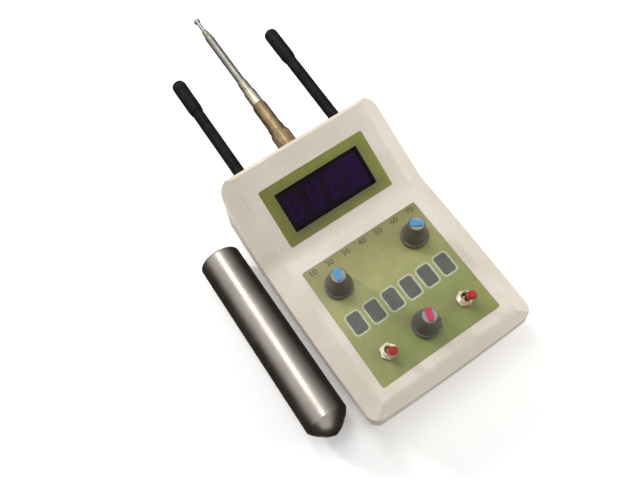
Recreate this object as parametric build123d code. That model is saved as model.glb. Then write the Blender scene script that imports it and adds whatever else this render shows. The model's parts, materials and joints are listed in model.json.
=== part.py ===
from build123d import *
import os
from math import cos, hypot, radians, sin, sqrt, tan

# A hand-held long range locator: a folded two-part case with a sloping control panel, a steeper
# display, three turning knobs, two toggle switches, two whip antennas, a telescopic mast and a
# loose turned grip that plugs into the underside.
# Millimetres and degrees. The origin is the mouth of the grip socket in the underside, +Y points
# to the antenna end, +X to the right of the user and +Z up.

# Case outline on the parting plane
END_WIDTH = 101.0
SIDE_BOW = 1.5
USER_END = 70.5
ANTENNA_END = 76.5
END_BOW = 0.8
CORNER_R = 7.0
PART_Z = 16.0
WALL = 2.5
FRONT_DRAFT = 1.0
REAR_DRAFT = 8.0
FLOOR_R = 5.0

# Folded top of the case
FOLD_Y = 23.8
FOLD_Z = 34.3
FOLD_R = 14.0
CONTROL_SLOPE = 4.0
DISPLAY_SLOPE = 31.0
SIDE_BEVEL_RUN = 9.0
BEVEL_ANGLE = 27.0
CREASE_R = 5.0
SHOULDER_R = 1.5
USER_BEVEL_RUN = 5.0
USER_BEVEL_ANGLE = 40.0
USER_CREASE_R = 5.0
SKIM = 0.02
ANTENNA_BEVEL_RUN = 2.2
ANTENNA_BEVEL_ANGLE = 45.0
END_LEAN = 8.5

# Parting lip
LIP_WALL = 1.2
LIP_H = 2.0
LIP_GAP = 0.15
LIP_STEP = 0.3

# Case screws and their pillars
PILLAR_X = 40.5
PILLAR_USER_Y = -58.5
PILLAR_ANTENNA_Y = 57.0
PILLAR_R = 4.0
SCREW_R = 1.45
SCREW_LENGTH = 17.0
SCREW_HEAD_R = 2.8
SCREW_HEAD_H = 1.8
SCREW_SEAT_Z = 5.0
SCREW_DRIVE_W = 0.9
SCREW_DRIVE_L = 3.2
SCREW_DRIVE_DEPTH = 0.9
SCREW_GAP = 0.2
THREAD_GAP = 0.03

# Printed labels
LABEL_T = 0.5
LABEL_SINK = 0.4
LABEL_GAP = 0.2
LABEL_R = 1.0
CONTROL_LABEL_W = 73.0
CONTROL_LABEL_H = 72.0
CONTROL_LABEL_TO_FOLD = 47.0
DISPLAY_LABEL_W = 66.0
DISPLAY_LABEL_H = 34.0
DISPLAY_LABEL_TO_FOLD = 21.4

# Display window, digits and board
WINDOW_W = 53.0
WINDOW_H = 23.2
WINDOW_R = 0.8
WINDOW_SINK = 1.1
WINDOW_GAP = 0.1
LENS_FLANGE = 1.8
LENS_FLANGE_T = 1.5
LED_W = 50.3
LED_H = 19.0
LED_T = 8.0
LED_SLANT = 10.0
LED_TO_LENS = 0.4
LED_RECESS = 0.5
DIGIT_COUNT = 4
DIGIT_PITCH = 12.7
DIGIT_W = 10.2
DIGIT_H = 16.6
DISPLAY_BOARD_W = 70.0
DISPLAY_BOARD_H = 26.0
BOARD_T = 1.6
BOARD_POST_R = 2.8
BOARD_EDGE = 3.6
BOARD_SCREW_R = 1.0
BOARD_SCREW_LENGTH = 6.0
BOARD_SCREW_HEAD_R = 1.9
BOARD_SCREW_HEAD_H = 1.3

# Control board under the panel
MAIN_BOARD_W = 68.0
MAIN_BOARD_H = 74.0
MAIN_BOARD_DEPTH = 13.5
CHIP_L = 19.6
CHIP_W = 6.4
CHIP_T = 3.4
CHIP_Y = -4.0
CHIP_LIFT = 0.5
CHIP_LEADS = 8
CHIP_LEAD_PITCH = 2.54
CHIP_LEAD_W = 0.6
CHIP_LEAD_REACH = 1.2

# Turning controls
KNOB_X = 24.5
KNOB_UP_Y = 19.5
KNOB_LOW_Y = -22.7
KNOB_REST = {"left": -16.0, "right": 53.0, "low": -20.0}
KNOB_LIFT = 0.7
KNOB_H = 15.8
KNOB_SKIRT_R = 7.5
KNOB_SKIRT_H = 2.2
KNOB_FOOT_R = 6.6
KNOB_TOP_R = 4.3
KNOB_EDGE_R = 0.5
KNOB_HOLLOW_R = 5.5
KNOB_FLUTES = 18
KNOB_FLUTE_R = 0.55
KNOB_CAP_R = 3.7
KNOB_CAP_T = 1.4
KNOB_CAP_PROUD = 0.4
POINTER_L = 6.6
POINTER_W = 3.6
POINTER_TIP_W = 2.6
POINTER_SINK = 0.7
POINTER_PROUD = 0.8
PRESS_GAP = 0.02
POT_R = 8.2
POT_DEPTH = 9.0
POT_EDGE_R = 0.8
POT_BUSH_R = 3.5
POT_BUSH_H = 4.2
POT_NUT_ACROSS = 9.0
POT_NUT_T = 2.0
POT_SHAFT_R = 3.0
POT_SHAFT_IN = 5.0
POT_SHAFT_OUT = 13.4
POT_STRIP_W = 13.0
POT_STRIP_REACH = 3.0
POT_STRIP_T = 3.0
POT_LUG_PITCH = 5.0
POT_LUG_R = 0.5
LUG_HOLE_GAP = 0.3
LUG_PAST_BOARD = 1.0
RUN_GAP = 0.04
HOLE_GAP = 0.15

# Toggle switches
SWITCH_X = 24.0
SWITCH_Y = -23.0
SWITCH_TURN = {"left": 8.0, "right": 30.0}
SWITCH_W = 8.0
SWITCH_L = 13.0
SWITCH_DEPTH = 9.6
SWITCH_BUSH_R = 3.0
SWITCH_BUSH_H = 5.0
SWITCH_SPIGOT_R = 2.4
SWITCH_SPIGOT_H = 1.5
SWITCH_NUT_ACROSS = 8.0
SWITCH_NUT_T = 2.0
SWITCH_LUG_PITCH = 4.7
SWITCH_LUG_R = 0.7
LEVER_PIVOT_Z = 1.4
LEVER_BALL_R = 1.9
LEVER_R = 1.0
LEVER_LENGTH = 9.5
LEVER_TILT = 16.0
LEVER_MOUTH_R = 2.4
LEVER_CAP_R = 2.3
LEVER_CAP_NECK_R = 1.7
LEVER_CAP_DOME_R = 1.8
LEVER_CAP_FROM = 4.7
LEVER_CAP_LENGTH = 7.0

# Whip antennas on the antenna end
ANTENNA_Z = 39.0
WHIP_X = 32.2
WHIP_R = 3.4
WHIP_LENGTH = 80.0
WHIP_SLEEVE_R = 4.15
WHIP_SLEEVE_LENGTH = 24.0
WHIP_SLEEVE_TAPER = 3.0
WHIP_SLEEVE_LAP = 18.0
WHIP_SLEEVE_LIP = 0.3
WHIP_DOME_R = 3.2
WHIP_PIN_R = 1.2
WHIP_PIN_LENGTH = 6.0
SOCKET_FLANGE_R = 4.6
SOCKET_FLANGE_T = 1.6
SOCKET_R = 3.1
SOCKET_IN = 4.0
SOCKET_NUT_ACROSS = 8.0
SOCKET_NUT_T = 2.4

# Telescopic mast, measured outward from the antenna end
MAST_RADII = [4.4, 3.65, 3.05, 2.5, 1.9, 1.15]
MAST_TOPS = [40.4, 51.4, 58.9, 98.0, 102.5, 108.9]
MAST_LENGTHS = [48.4, 48.0, 47.0, 50.0, 50.5, 51.5]
MAST_WALL = 0.25
MAST_CRIMP = 1.5
MAST_COLLAR = 3.0
MAST_PLUG = 1.5
MAST_FIT = 0.05
MAST_BALL_R = 1.9
MAST_SOCKET_R = 5.3
MAST_SOCKET_FLANGE_R = 6.8
MAST_SOCKET_FLANGE_T = 2.4
MAST_NUT_ACROSS = 13.0
FERRULE_R = 5.8
FERRULE_LENGTH = 20.0
FERRULE_NECK = 5.5
FERRULE_NECK_R = 4.8
FERRULE_KNURLS = 20
FERRULE_KNURL_R = 0.45
FERRULE_KNURL_LENGTH = 11.0

# Battery, its bay and its door
BATTERY_L = 46.4
BATTERY_W = 26.2
BATTERY_T = 17.2
BATTERY_EDGE_R = 1.6
BATTERY_Y = 50.0
BATTERY_X = -3.0
BATTERY_Z = 2.6
STUD_PITCH = 12.7
STUD_R = 2.8
STUD_H = 2.4
SNAP_W = 24.0
SNAP_H = 12.0
SNAP_T = 4.6
SNAP_GAP = 0.1
BAY_WALL = 1.6
BAY_WALL_H = 12.0
DOOR_W = 57.0
DOOR_T = 2.0
DOOR_GAP = 0.3
DOOR_TONGUE = 1.2
DOOR_TONGUE_T = 0.8
DOOR_LAP_Z = 0.7
DOOR_RIDGES = 5
DOOR_RIDGE_PITCH = 2.2
DOOR_RIDGE_R = 0.6
DOOR_RIDGE_W = 22.0

# Grip and the bush it plugs into
GRIP_R = 12.0
GRIP_LENGTH = 109.8
GRIP_POINT = 9.0
GRIP_BULGE = 1.4
GRIP_TIP_R = 0.4
GRIP_EDGE_R = 1.2
GRIP_GAP = 4.5
GRIP_FAR_Y = 57.5
BUSH_GAP = 0.1
BUSH_DEPTH = 12.0
BUSH_WALL = 1.9
BUSH_ROOF = 2.0
BUSH_FLANGE = 3.0
BUSH_FLANGE_T = 1.5

SIDES = {"left": -1, "right": 1}
UP = (Align.CENTER, Align.CENTER, Align.MIN)
REACH = 3 * END_WIDTH


def slope_plane(y, z, slope):
    """A plane on a face that rises towards the antenna end, its normal out of the face."""
    lean = radians(slope)
    return Plane(origin=(0, y, z), x_dir=(1, 0, 0), z_dir=(0, -sin(lean), cos(lean)))


def on_slope(distance, slope):
    """The point of the top's middle line at a distance from the fold, up the slope when positive."""
    return FOLD_Y + distance * cos(radians(slope)), FOLD_Z + distance * sin(radians(slope))


CONTROL = slope_plane(*on_slope(-CONTROL_LABEL_TO_FOLD, CONTROL_SLOPE), CONTROL_SLOPE)
DISPLAY = slope_plane(*on_slope(DISPLAY_LABEL_TO_FOLD, DISPLAY_SLOPE), DISPLAY_SLOPE)
END_Y = ANTENNA_END - (ANTENNA_Z - PART_Z) * tan(radians(END_LEAN))
END_FACE = Plane(
    origin=(0, END_Y, ANTENNA_Z), x_dir=(1, 0, 0),
    z_dir=(0, cos(radians(END_LEAN)), sin(radians(END_LEAN))),
)
LABEL_TOP = LABEL_T - LABEL_SINK
KNOB_PLACES = {"left": (-KNOB_X, KNOB_UP_Y), "right": (KNOB_X, KNOB_UP_Y), "low": (0, KNOB_LOW_Y)}
LENS_BACK = WALL + LENS_FLANGE_T
LED_FRONT = LENS_BACK + LED_TO_LENS
DISPLAY_BOARD_DEPTH = LED_FRONT + LED_T
GRIP_X = -(END_WIDTH / 2 + GRIP_GAP + GRIP_R)
BUSH_R = GRIP_R + BUSH_GAP
BUSH_OUTER_R = BUSH_R + BUSH_WALL


def place(plane, shape, x=0, y=0, z=0):
    return plane.location * Pos(x, y, z) * shape


def rod(plane, radius, low, high, x=0, y=0):
    return place(plane, Cylinder(radius, high - low, align=UP), x, y, low)


def slab(plane, width, length, low, high, x=0, y=0, radius=0):
    face = RectangleRounded(width, length, radius) if radius else Rectangle(width, length)
    return place(plane, extrude(face, amount=high - low), x, y, low)


def turned(plane, points, x=0, y=0, z=0):
    """A turned solid from a closed profile of (radius, height) points about the plane's normal."""
    face = make_face(Polyline(*[(radius, 0, height) for radius, height in points], close=True))
    return place(plane, revolve(face, Axis.Z), x, y, z)


def hex_nut(plane, across, bore, low, high, x=0, y=0):
    face = RegularPolygon(across / 2, 6, major_radius=False) - Circle(bore)
    return place(plane, extrude(face, amount=high - low), x, y, low)


def save(name, shape):
    export_step(shape, f"parts/{name}.step")


def outline(inset, square_far_end=False):
    """Plan of the case on the parting plane: bowed sides, a bowed user end, a straight far end."""
    half = END_WIDTH / 2 - inset
    near, far = inset - USER_END, ANTENNA_END - inset
    middle = (near + far) / 2
    edges = [
        ThreePointArc((-half, near), (0, near - END_BOW), (half, near)),
        ThreePointArc((half, near), (half + SIDE_BOW, middle), (half, far)),
        Line((half, far), (-half, far)),
        ThreePointArc((-half, far), (-half - SIDE_BOW, middle), (-half, near)),
    ]
    face = make_face(edges)
    rounded = face.vertices().sort_by(Axis.Y)
    rounded = rounded[:2] if square_far_end else rounded
    return Plane.XY.offset(PART_Z) * fillet(rounded, CORNER_R - inset)


def roof(inset):
    """Everything under the folded top: one flat-and-bevel section swept over the softened fold."""
    bevel = radians(BEVEL_ANGLE)
    half = END_WIDTH / 2 - SIDE_BEVEL_RUN - inset * tan(bevel / 2)
    drop = inset + (REACH - half) * tan(bevel)
    points = [(-REACH, drop), (-half, inset), (half, inset), (REACH, drop), (REACH, REACH), (-REACH, REACH)]
    section = make_face(Polyline(*points, close=True))
    creases = [v for v in section.vertices() if abs(v.Y - inset) < WALL / 100]
    section = fillet(creases, CREASE_R - inset)
    start = (0, *on_slope(-REACH, CONTROL_SLOPE))
    path = FilletPolyline(
        start, (0, FOLD_Y, FOLD_Z), (0, *on_slope(REACH, DISPLAY_SLOPE)), radius=FOLD_R
    )
    rise = radians(CONTROL_SLOPE)
    return sweep(Plane(start, x_dir=(1, 0, 0), z_dir=(0, cos(rise), sin(rise))) * section, path)


def end_bevels():
    """The small bevel over the antenna end and the user end's bevel, normals out of the case."""
    lean, up = radians(END_LEAN), radians(DISPLAY_SLOPE)
    far_edge = (END_Y - FOLD_Y + (ANTENNA_Z - FOLD_Z) * tan(lean)) / (cos(up) + sin(up) * tan(lean))
    far_crease = on_slope(far_edge - ANTENNA_BEVEL_RUN, DISPLAY_SLOPE)
    far_tilt = radians(DISPLAY_SLOPE - ANTENNA_BEVEL_ANGLE)
    near_edge = (FOLD_Y + USER_END) / cos(radians(CONTROL_SLOPE))
    near_crease = on_slope(USER_BEVEL_RUN - near_edge, CONTROL_SLOPE)
    near_tilt = radians(CONTROL_SLOPE + USER_BEVEL_ANGLE)
    return [
        Plane((0, *far_crease), x_dir=(1, 0, 0), z_dir=(0, -sin(far_tilt), cos(far_tilt))),
        Plane((0, *near_crease), x_dir=(1, 0, 0), z_dir=(0, -sin(near_tilt), cos(near_tilt))),
    ]


def front_walls(inset):
    """The upright walls with the leaning antenna end, not yet roofed."""
    block = extrude(outline(inset, True), amount=REACH / 4, taper=FRONT_DRAFT)
    block = split(block, bisect_by=END_FACE.offset(-inset), keep=Keep.BOTTOM)
    corners = block.faces().sort_by(Axis.Y)[-1].edges().sort_by(Axis.X)
    return fillet([corners[0], corners[-1]], CORNER_R - inset)


def front_body(inset):
    """The front half's outside inset by some of the wall, with plain edges."""
    body = front_walls(inset) & roof(inset)
    for plane in end_bevels():
        body = split(body, bisect_by=plane.offset(-inset), keep=Keep.BOTTOM)
    return body


def rounded_sides():
    """The bowed side walls run out past both ends, roofed, with a round along each shoulder."""
    half, middle = END_WIDTH / 2 - SKIM, (ANTENNA_END - USER_END) / 2
    chord = (ANTENNA_END + USER_END) / 2
    radius = (chord ** 2 + SIDE_BOW ** 2) / (2 * SIDE_BOW)
    reach = chord + 2 * CORNER_R
    end = half + SIDE_BOW - radius + sqrt(radius ** 2 - reach ** 2)
    near, far, bow = middle - reach, middle + reach, half + SIDE_BOW
    plan = make_face([
        Line((-end, near), (end, near)), ThreePointArc((end, near), (bow, middle), (end, far)),
        Line((end, far), (-end, far)), ThreePointArc((-end, far), (-bow, middle), (-end, near)),
    ])
    body = extrude(Plane.XY.offset(PART_Z) * plan, amount=REACH / 4, taper=FRONT_DRAFT) & roof(0)
    sides = [face for face in body.faces() if abs(face.normal_at().X) > cos(radians(BEVEL_ANGLE))]
    side_edges = {hash(edge) for face in sides for edge in face.edges()}
    tops = [face for face in body.faces() if face.normal_at().Z > sin(radians(BEVEL_ANGLE))]
    shoulders = [edge for face in tops for edge in face.edges() if hash(edge) in side_edges]
    return fillet(shoulders, SHOULDER_R)


def user_bevel():
    """What comes off over the user end: a bevel with a softened crease that skims the control face."""
    angle, reach = radians(USER_BEVEL_ANGLE), END_WIDTH / 3
    near_edge = (FOLD_Y + USER_END) / cos(radians(CONTROL_SLOPE))
    crease = CONTROL_LABEL_TO_FOLD + USER_BEVEL_RUN - near_edge
    start, corner = (0, crease + reach, SKIM), (0, crease + SKIM / tan(angle), SKIM)
    end = (0, crease - reach * cos(angle), -reach * sin(angle))
    under = FilletPolyline(start, corner, end, radius=USER_CREASE_R)
    over = Polyline(end, (0, end[1], reach), (0, start[1], reach), start)
    face = make_face(under.edges() + over.edges())
    return place(CONTROL, extrude(face, amount=END_WIDTH, dir=(1, 0, 0), both=True))


def front_outside():
    """The front half's outside: the rounded sides, closed by both ends and their bevels."""
    body = rounded_sides() & front_walls(0)
    body = split(body, bisect_by=end_bevels()[0], keep=Keep.BOTTOM)
    return body - user_bevel()


def rear_body(inset):
    """The rear half's outside, or its hollow when inset by the wall."""
    body = extrude(outline(inset), amount=PART_Z - inset, dir=(0, 0, -1), taper=REAR_DRAFT)
    floor = body.faces().sort_by(Axis.Z)[0]
    return fillet(floor.edges(), FLOOR_R - inset / 2)


def lip():
    """A band along the parting line that hangs from the front half's wall, stepped in from its inside."""
    band = outline(WALL - LIP_WALL) - outline(WALL - LIP_STEP)
    return extrude(band, amount=-LIP_H)


def pillar_places():
    return [(side * PILLAR_X, y) for side in (-1, 1) for y in (PILLAR_USER_Y, PILLAR_ANTENNA_Y)]


def board_places(width, height):
    return [
        (sx * (width / 2 - BOARD_EDGE), sy * (height / 2 - BOARD_EDGE))
        for sx in (-1, 1) for sy in (-1, 1)
    ]


def front_shell():
    body = front_outside() - front_body(WALL) + lip()
    skin = front_body(WALL / 2)
    for x, y in pillar_places():
        body += rod(Plane.XY, PILLAR_R, PART_Z, REACH / 2, x, y) & skin
    posts = [(DISPLAY, DISPLAY_BOARD_W, DISPLAY_BOARD_H, DISPLAY_BOARD_DEPTH),
             (CONTROL, MAIN_BOARD_W, MAIN_BOARD_H, MAIN_BOARD_DEPTH)]
    for plane, width, height, depth in posts:
        for x, y in board_places(width, height):
            body += rod(plane, BOARD_POST_R, -depth, -WALL / 2, x, y)
            body -= rod(plane, BOARD_SCREW_R + THREAD_GAP, -depth, BOARD_SCREW_LENGTH - depth, x, y)
    for x, y in pillar_places():
        top = SCREW_SEAT_Z + SCREW_LENGTH + SCREW_GAP
        body -= rod(Plane.XY, SCREW_R + THREAD_GAP, PART_Z - LIP_H, top, x, y)
    return body - panel_cuts()


def panel_cuts():
    """Label recesses, the window and every hole that the controls and antennas pass through."""
    cuts = [
        slab(CONTROL, CONTROL_LABEL_W + 2 * LABEL_GAP, CONTROL_LABEL_H + 2 * LABEL_GAP,
             -LABEL_SINK, WALL, radius=LABEL_R + LABEL_GAP),
        slab(DISPLAY, DISPLAY_LABEL_W + 2 * LABEL_GAP, DISPLAY_LABEL_H + 2 * LABEL_GAP,
             -LABEL_SINK, WALL, radius=LABEL_R + LABEL_GAP),
        slab(DISPLAY, WINDOW_W, WINDOW_H, -2 * WALL, WALL, radius=WINDOW_R),
        rod(END_FACE, MAST_SOCKET_R + HOLE_GAP, -2 * WALL, WALL),
    ]
    for x, y in KNOB_PLACES.values():
        cuts.append(rod(CONTROL, POT_BUSH_R + HOLE_GAP, -2 * WALL, WALL, x, y))
    for side in SIDES.values():
        cuts.append(rod(CONTROL, SWITCH_BUSH_R + HOLE_GAP, -2 * WALL, WALL, side * SWITCH_X, SWITCH_Y))
        cuts.append(rod(END_FACE, SOCKET_R + HOLE_GAP, -2 * WALL, WALL, side * WHIP_X))
    return cuts


def rear_shell():
    body = rear_body(0) - rear_body(WALL)
    body -= extrude(outline(WALL - LIP_WALL - LIP_GAP), amount=-LIP_H - LIP_GAP)
    inside = rear_body(WALL / 2)
    for x, y in pillar_places():
        body += rod(Plane.XY, PILLAR_R, WALL / 2, PART_Z, x, y) & inside
        body += rod(Plane.XY, SCREW_HEAD_R + WALL, 0, SCREW_SEAT_Z + WALL, x, y) & inside
        body -= rod(Plane.XY, SCREW_R + SCREW_GAP, 0, PART_Z, x, y)
        body -= rod(Plane.XY, SCREW_HEAD_R + SCREW_GAP, 0, SCREW_SEAT_Z, x, y)
    body += bay_walls()
    body -= rod(Plane.XY, BUSH_OUTER_R + PRESS_GAP, 0, WALL)
    return body - door_cuts()


def bay_walls():
    """The U of upright walls round the battery: one across its near side, one at each end."""
    near = BATTERY_Y - BATTERY_W / 2
    half = DOOR_W / 2 + DOOR_TONGUE + 2 * DOOR_GAP
    top = BATTERY_Z + BAY_WALL_H
    walls = slab(Plane.XY, 2 * half, BAY_WALL, WALL / 2, top, y=near - BAY_WALL / 2)
    for side in (-1, 1):
        x = side * (half + BAY_WALL / 2)
        walls += slab(Plane.XY, BAY_WALL, BATTERY_W + BAY_WALL, WALL / 2, top, x, BATTERY_Y - BAY_WALL / 2)
    return walls


def door_near():
    return BATTERY_Y - BATTERY_W / 2 + DOOR_GAP


def door_cuts():
    """The door's opening, run out through the antenna end, and the grooves for its tongues."""
    near, far = door_near() - DOOR_GAP, ANTENNA_END + WALL
    width = DOOR_W + 2 * DOOR_GAP
    middle = (near + far) / 2
    low, high = DOOR_LAP_Z, DOOR_LAP_Z + DOOR_TONGUE_T + 2 * DOOR_GAP
    return [
        slab(Plane.XY, width, far - near, 0, DOOR_T + DOOR_GAP, y=middle),
        slab(Plane.XY, width + 2 * DOOR_TONGUE, far - near, low, high, y=middle),
    ]


def battery_door():
    near, far = door_near(), ANTENNA_END + WALL
    middle = (near + far) / 2
    low = DOOR_LAP_Z + DOOR_GAP
    door = slab(Plane.XY, DOOR_W, far - near, 0, DOOR_T, y=middle)
    door += slab(Plane.XY, DOOR_W + 2 * DOOR_TONGUE, far - near, low, low + DOOR_TONGUE_T, y=middle)
    door &= rear_body(0)
    for index in range(DOOR_RIDGES):
        y = BATTERY_Y + BATTERY_W / 2 - index * DOOR_RIDGE_PITCH
        door -= Pos(0, y, 0) * Rot(0, 90, 0) * Cylinder(DOOR_RIDGE_R, DOOR_RIDGE_W)
    return door


def screw(radius, length, head_r, head_h):
    """A pan-head screw standing on its head's underside, head below, slot in the head."""
    body = Pos(0, 0, -head_h) * Cylinder(head_r, head_h, align=UP)
    body = fillet(body.edges().sort_by(Axis.Z)[:1], head_h / 3)
    body += Cylinder(radius, length, align=UP)
    slot = Box(SCREW_DRIVE_L * head_r / SCREW_HEAD_R, SCREW_DRIVE_W, SCREW_DRIVE_DEPTH, align=UP)
    return body - Pos(0, 0, -head_h) * slot


def case_screws():
    one = screw(SCREW_R, SCREW_LENGTH, SCREW_HEAD_R, SCREW_HEAD_H)
    return Compound([Pos(x, y, SCREW_SEAT_Z) * one for x, y in pillar_places()])


def board_screws(plane, width, height, depth):
    one = screw(BOARD_SCREW_R, BOARD_SCREW_LENGTH - THREAD_GAP, BOARD_SCREW_HEAD_R, BOARD_SCREW_HEAD_H)
    back = -depth - BOARD_T
    return Compound([place(plane, one, x, y, back) for x, y in board_places(width, height)])


def board(plane, width, height, depth):
    body = slab(plane, width, height, -depth - BOARD_T, -depth, radius=LABEL_R)
    for x, y in board_places(width, height):
        body -= rod(plane, BOARD_SCREW_R + SCREW_GAP, -depth - BOARD_T, -depth, x, y)
    return body


def main_board():
    body = board(CONTROL, MAIN_BOARD_W, MAIN_BOARD_H, MAIN_BOARD_DEPTH)
    low, high = -MAIN_BOARD_DEPTH - BOARD_T, -MAIN_BOARD_DEPTH
    for x, y in KNOB_PLACES.values():
        for lug_x, lug_y in pot_lugs():
            body -= rod(CONTROL, POT_LUG_R + LUG_HOLE_GAP, low, high, x + lug_x, y + lug_y)
    for name in SIDES:
        for lug_y in switch_lugs():
            body -= rod(switch_frame(name), SWITCH_LUG_R + LUG_HOLE_GAP, low, high, y=lug_y)
    return body


def controller_chip():
    """A wide flat chip on the board's back, with bent leads along both long sides."""
    face = -MAIN_BOARD_DEPTH - BOARD_T
    low, high = face - CHIP_LIFT - CHIP_T, face - CHIP_LIFT
    body = slab(CONTROL, CHIP_L, CHIP_W, low, high, y=CHIP_Y)
    body -= rod(CONTROL, CHIP_W / 6, low, low + CHIP_LIFT, -CHIP_L / 2, CHIP_Y)
    middle = (low + high) / 2
    for index in range(CHIP_LEADS):
        x = (index - (CHIP_LEADS - 1) / 2) * CHIP_LEAD_PITCH
        for side in (-1, 1):
            y = CHIP_Y + side * (CHIP_W + CHIP_LEAD_REACH) / 2
            body += slab(CONTROL, CHIP_LEAD_W, CHIP_LEAD_REACH, middle, face, x, y)
    return body


def control_label():
    body = slab(CONTROL, CONTROL_LABEL_W, CONTROL_LABEL_H, -LABEL_SINK, LABEL_TOP, radius=LABEL_R)
    for x, y in KNOB_PLACES.values():
        body -= rod(CONTROL, POT_BUSH_R + HOLE_GAP, -LABEL_SINK, LABEL_TOP, x, y)
    for side in SIDES.values():
        body -= rod(CONTROL, SWITCH_BUSH_R + HOLE_GAP, -LABEL_SINK, LABEL_TOP, side * SWITCH_X, SWITCH_Y)
    return body


def display_label():
    body = slab(DISPLAY, DISPLAY_LABEL_W, DISPLAY_LABEL_H, -LABEL_SINK, LABEL_TOP, radius=LABEL_R)
    return body - slab(DISPLAY, WINDOW_W, WINDOW_H, -LABEL_SINK, LABEL_TOP, radius=WINDOW_R)


def display_window():
    """The tinted lens: a block that fills the opening, on a flange glued behind the wall."""
    gap = 2 * WINDOW_GAP
    body = slab(DISPLAY, WINDOW_W - gap, WINDOW_H - gap, -WALL, -WINDOW_SINK, radius=WINDOW_R)
    flange = 2 * LENS_FLANGE
    return body + slab(DISPLAY, WINDOW_W + flange, WINDOW_H + flange, -LENS_BACK, -WALL, radius=WINDOW_R)


def led_display():
    """The digit block, with a slanted well for each digit in its front."""
    body = slab(DISPLAY, LED_W, LED_H, -DISPLAY_BOARD_DEPTH, -LED_FRONT)
    lean = DIGIT_H / 2 * tan(radians(LED_SLANT))
    half = DIGIT_W / 2 - lean
    points = [(-half - lean, -DIGIT_H / 2), (half - lean, -DIGIT_H / 2),
              (half + lean, DIGIT_H / 2), (lean - half, DIGIT_H / 2)]
    well = extrude(make_face(Polyline(*points, close=True)), amount=LED_RECESS)
    for index in range(DIGIT_COUNT):
        x = (index - (DIGIT_COUNT - 1) / 2) * DIGIT_PITCH
        body -= place(DISPLAY, well, x, 0, -LED_FRONT - LED_RECESS)
    return body


def pot_lugs():
    y = -POT_R - POT_STRIP_REACH / 2
    return [((index - 1) * POT_LUG_PITCH, y) for index in range(3)]


def pot_body(x, y):
    """The round can, its threaded bush with a blind bore, and the lug strip on its near side."""
    back = -WALL - POT_DEPTH
    can = rod(CONTROL, POT_R, back, -WALL, x, y)
    can = fillet(can.edges().filter_by(GeomType.CIRCLE).sort_by(Axis.Z)[:1], POT_EDGE_R)
    can += rod(CONTROL, POT_BUSH_R, -WALL, LABEL_TOP + POT_BUSH_H, x, y)
    strip_l = POT_R + POT_STRIP_REACH
    can += slab(CONTROL, POT_STRIP_W, strip_l, back, back + POT_STRIP_T, x, y - strip_l / 2)
    for lug_x, lug_y in pot_lugs():
        end = -MAIN_BOARD_DEPTH - BOARD_T - LUG_PAST_BOARD
        can += rod(CONTROL, POT_LUG_R, end, back + POT_STRIP_T / 2, x + lug_x, y + lug_y)
    bore = POT_SHAFT_R + RUN_GAP
    return can - rod(CONTROL, bore, -WALL - POT_SHAFT_IN - HOLE_GAP, LABEL_TOP + POT_BUSH_H, x, y)


def pot_shaft(x, y):
    shaft = rod(CONTROL, POT_SHAFT_R, -WALL - POT_SHAFT_IN, LABEL_TOP + POT_SHAFT_OUT, x, y)
    return chamfer(shaft.edges().sort_by(Axis.Z)[-1:], HOLE_GAP * 2)


def pot_nuts():
    nuts = [
        hex_nut(CONTROL, POT_NUT_ACROSS, POT_BUSH_R + THREAD_GAP, LABEL_TOP, LABEL_TOP + POT_NUT_T, x, y)
        for x, y in KNOB_PLACES.values()
    ]
    return Compound(nuts)


def knob_floor():
    """Height of the hollow's ceiling above the label, clear of the bush."""
    return LABEL_TOP + POT_BUSH_H + KNOB_LIFT


def knob_body(x, y):
    """Skirt, fluted taper and hollow underside; the bore takes the shaft, the top takes the cap."""
    low, high = LABEL_TOP + KNOB_LIFT, LABEL_TOP + KNOB_LIFT + KNOB_H
    skirt = low + KNOB_SKIRT_H
    profile = [(0, low), (KNOB_SKIRT_R, low), (KNOB_SKIRT_R, skirt), (KNOB_FOOT_R, skirt + KNOB_EDGE_R),
               (KNOB_TOP_R, high - KNOB_EDGE_R), (KNOB_TOP_R - KNOB_EDGE_R, high), (0, high)]
    body = turned(CONTROL, profile, x, y)
    foot, top = KNOB_FOOT_R + KNOB_FLUTE_R / 2, KNOB_TOP_R + KNOB_FLUTE_R / 2
    groove_low, groove_high = skirt + 2 * KNOB_EDGE_R, high + KNOB_EDGE_R
    flute = loft([
        Pos(foot, 0, groove_low) * Circle(KNOB_FLUTE_R), Pos(top, 0, groove_high) * Circle(KNOB_FLUTE_R)
    ])
    flutes = [place(CONTROL, Rot(0, 0, 360 * i / KNOB_FLUTES) * flute, x, y) for i in range(KNOB_FLUTES)]
    body -= flutes
    body -= rod(CONTROL, KNOB_HOLLOW_R, low, knob_floor(), x, y)
    body -= rod(CONTROL, POT_SHAFT_R + PRESS_GAP, low, LABEL_TOP + POT_SHAFT_OUT + PRESS_GAP, x, y)
    return body - rod(CONTROL, KNOB_CAP_R + PRESS_GAP, high + KNOB_CAP_PROUD - KNOB_CAP_T, high, x, y)


def cap_top():
    return LABEL_TOP + KNOB_LIFT + KNOB_H + KNOB_CAP_PROUD


def pointer_outline(gap):
    """A tongue that widens to the cap's rim, drawn pointing along +Y."""
    wide, narrow = POINTER_W / 2 + gap, POINTER_TIP_W / 2 + gap
    rim = KNOB_CAP_R + KNOB_EDGE_R
    start = KNOB_CAP_R - POINTER_L - gap
    return make_face(Polyline((-narrow, start), (narrow, start), (wide, rim), (-wide, rim), close=True))


def knob_cap(x, y, rest):
    high = cap_top()
    body = rod(CONTROL, KNOB_CAP_R, high - KNOB_CAP_T, high, x, y)
    body = fillet(body.edges().sort_by(Axis.Z)[-1:], KNOB_CAP_PROUD / 2)
    slot = extrude(pointer_outline(PRESS_GAP), amount=POINTER_SINK + POINTER_PROUD)
    return body - place(CONTROL, Rot(0, 0, rest) * slot, x, y, high - POINTER_SINK)


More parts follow.
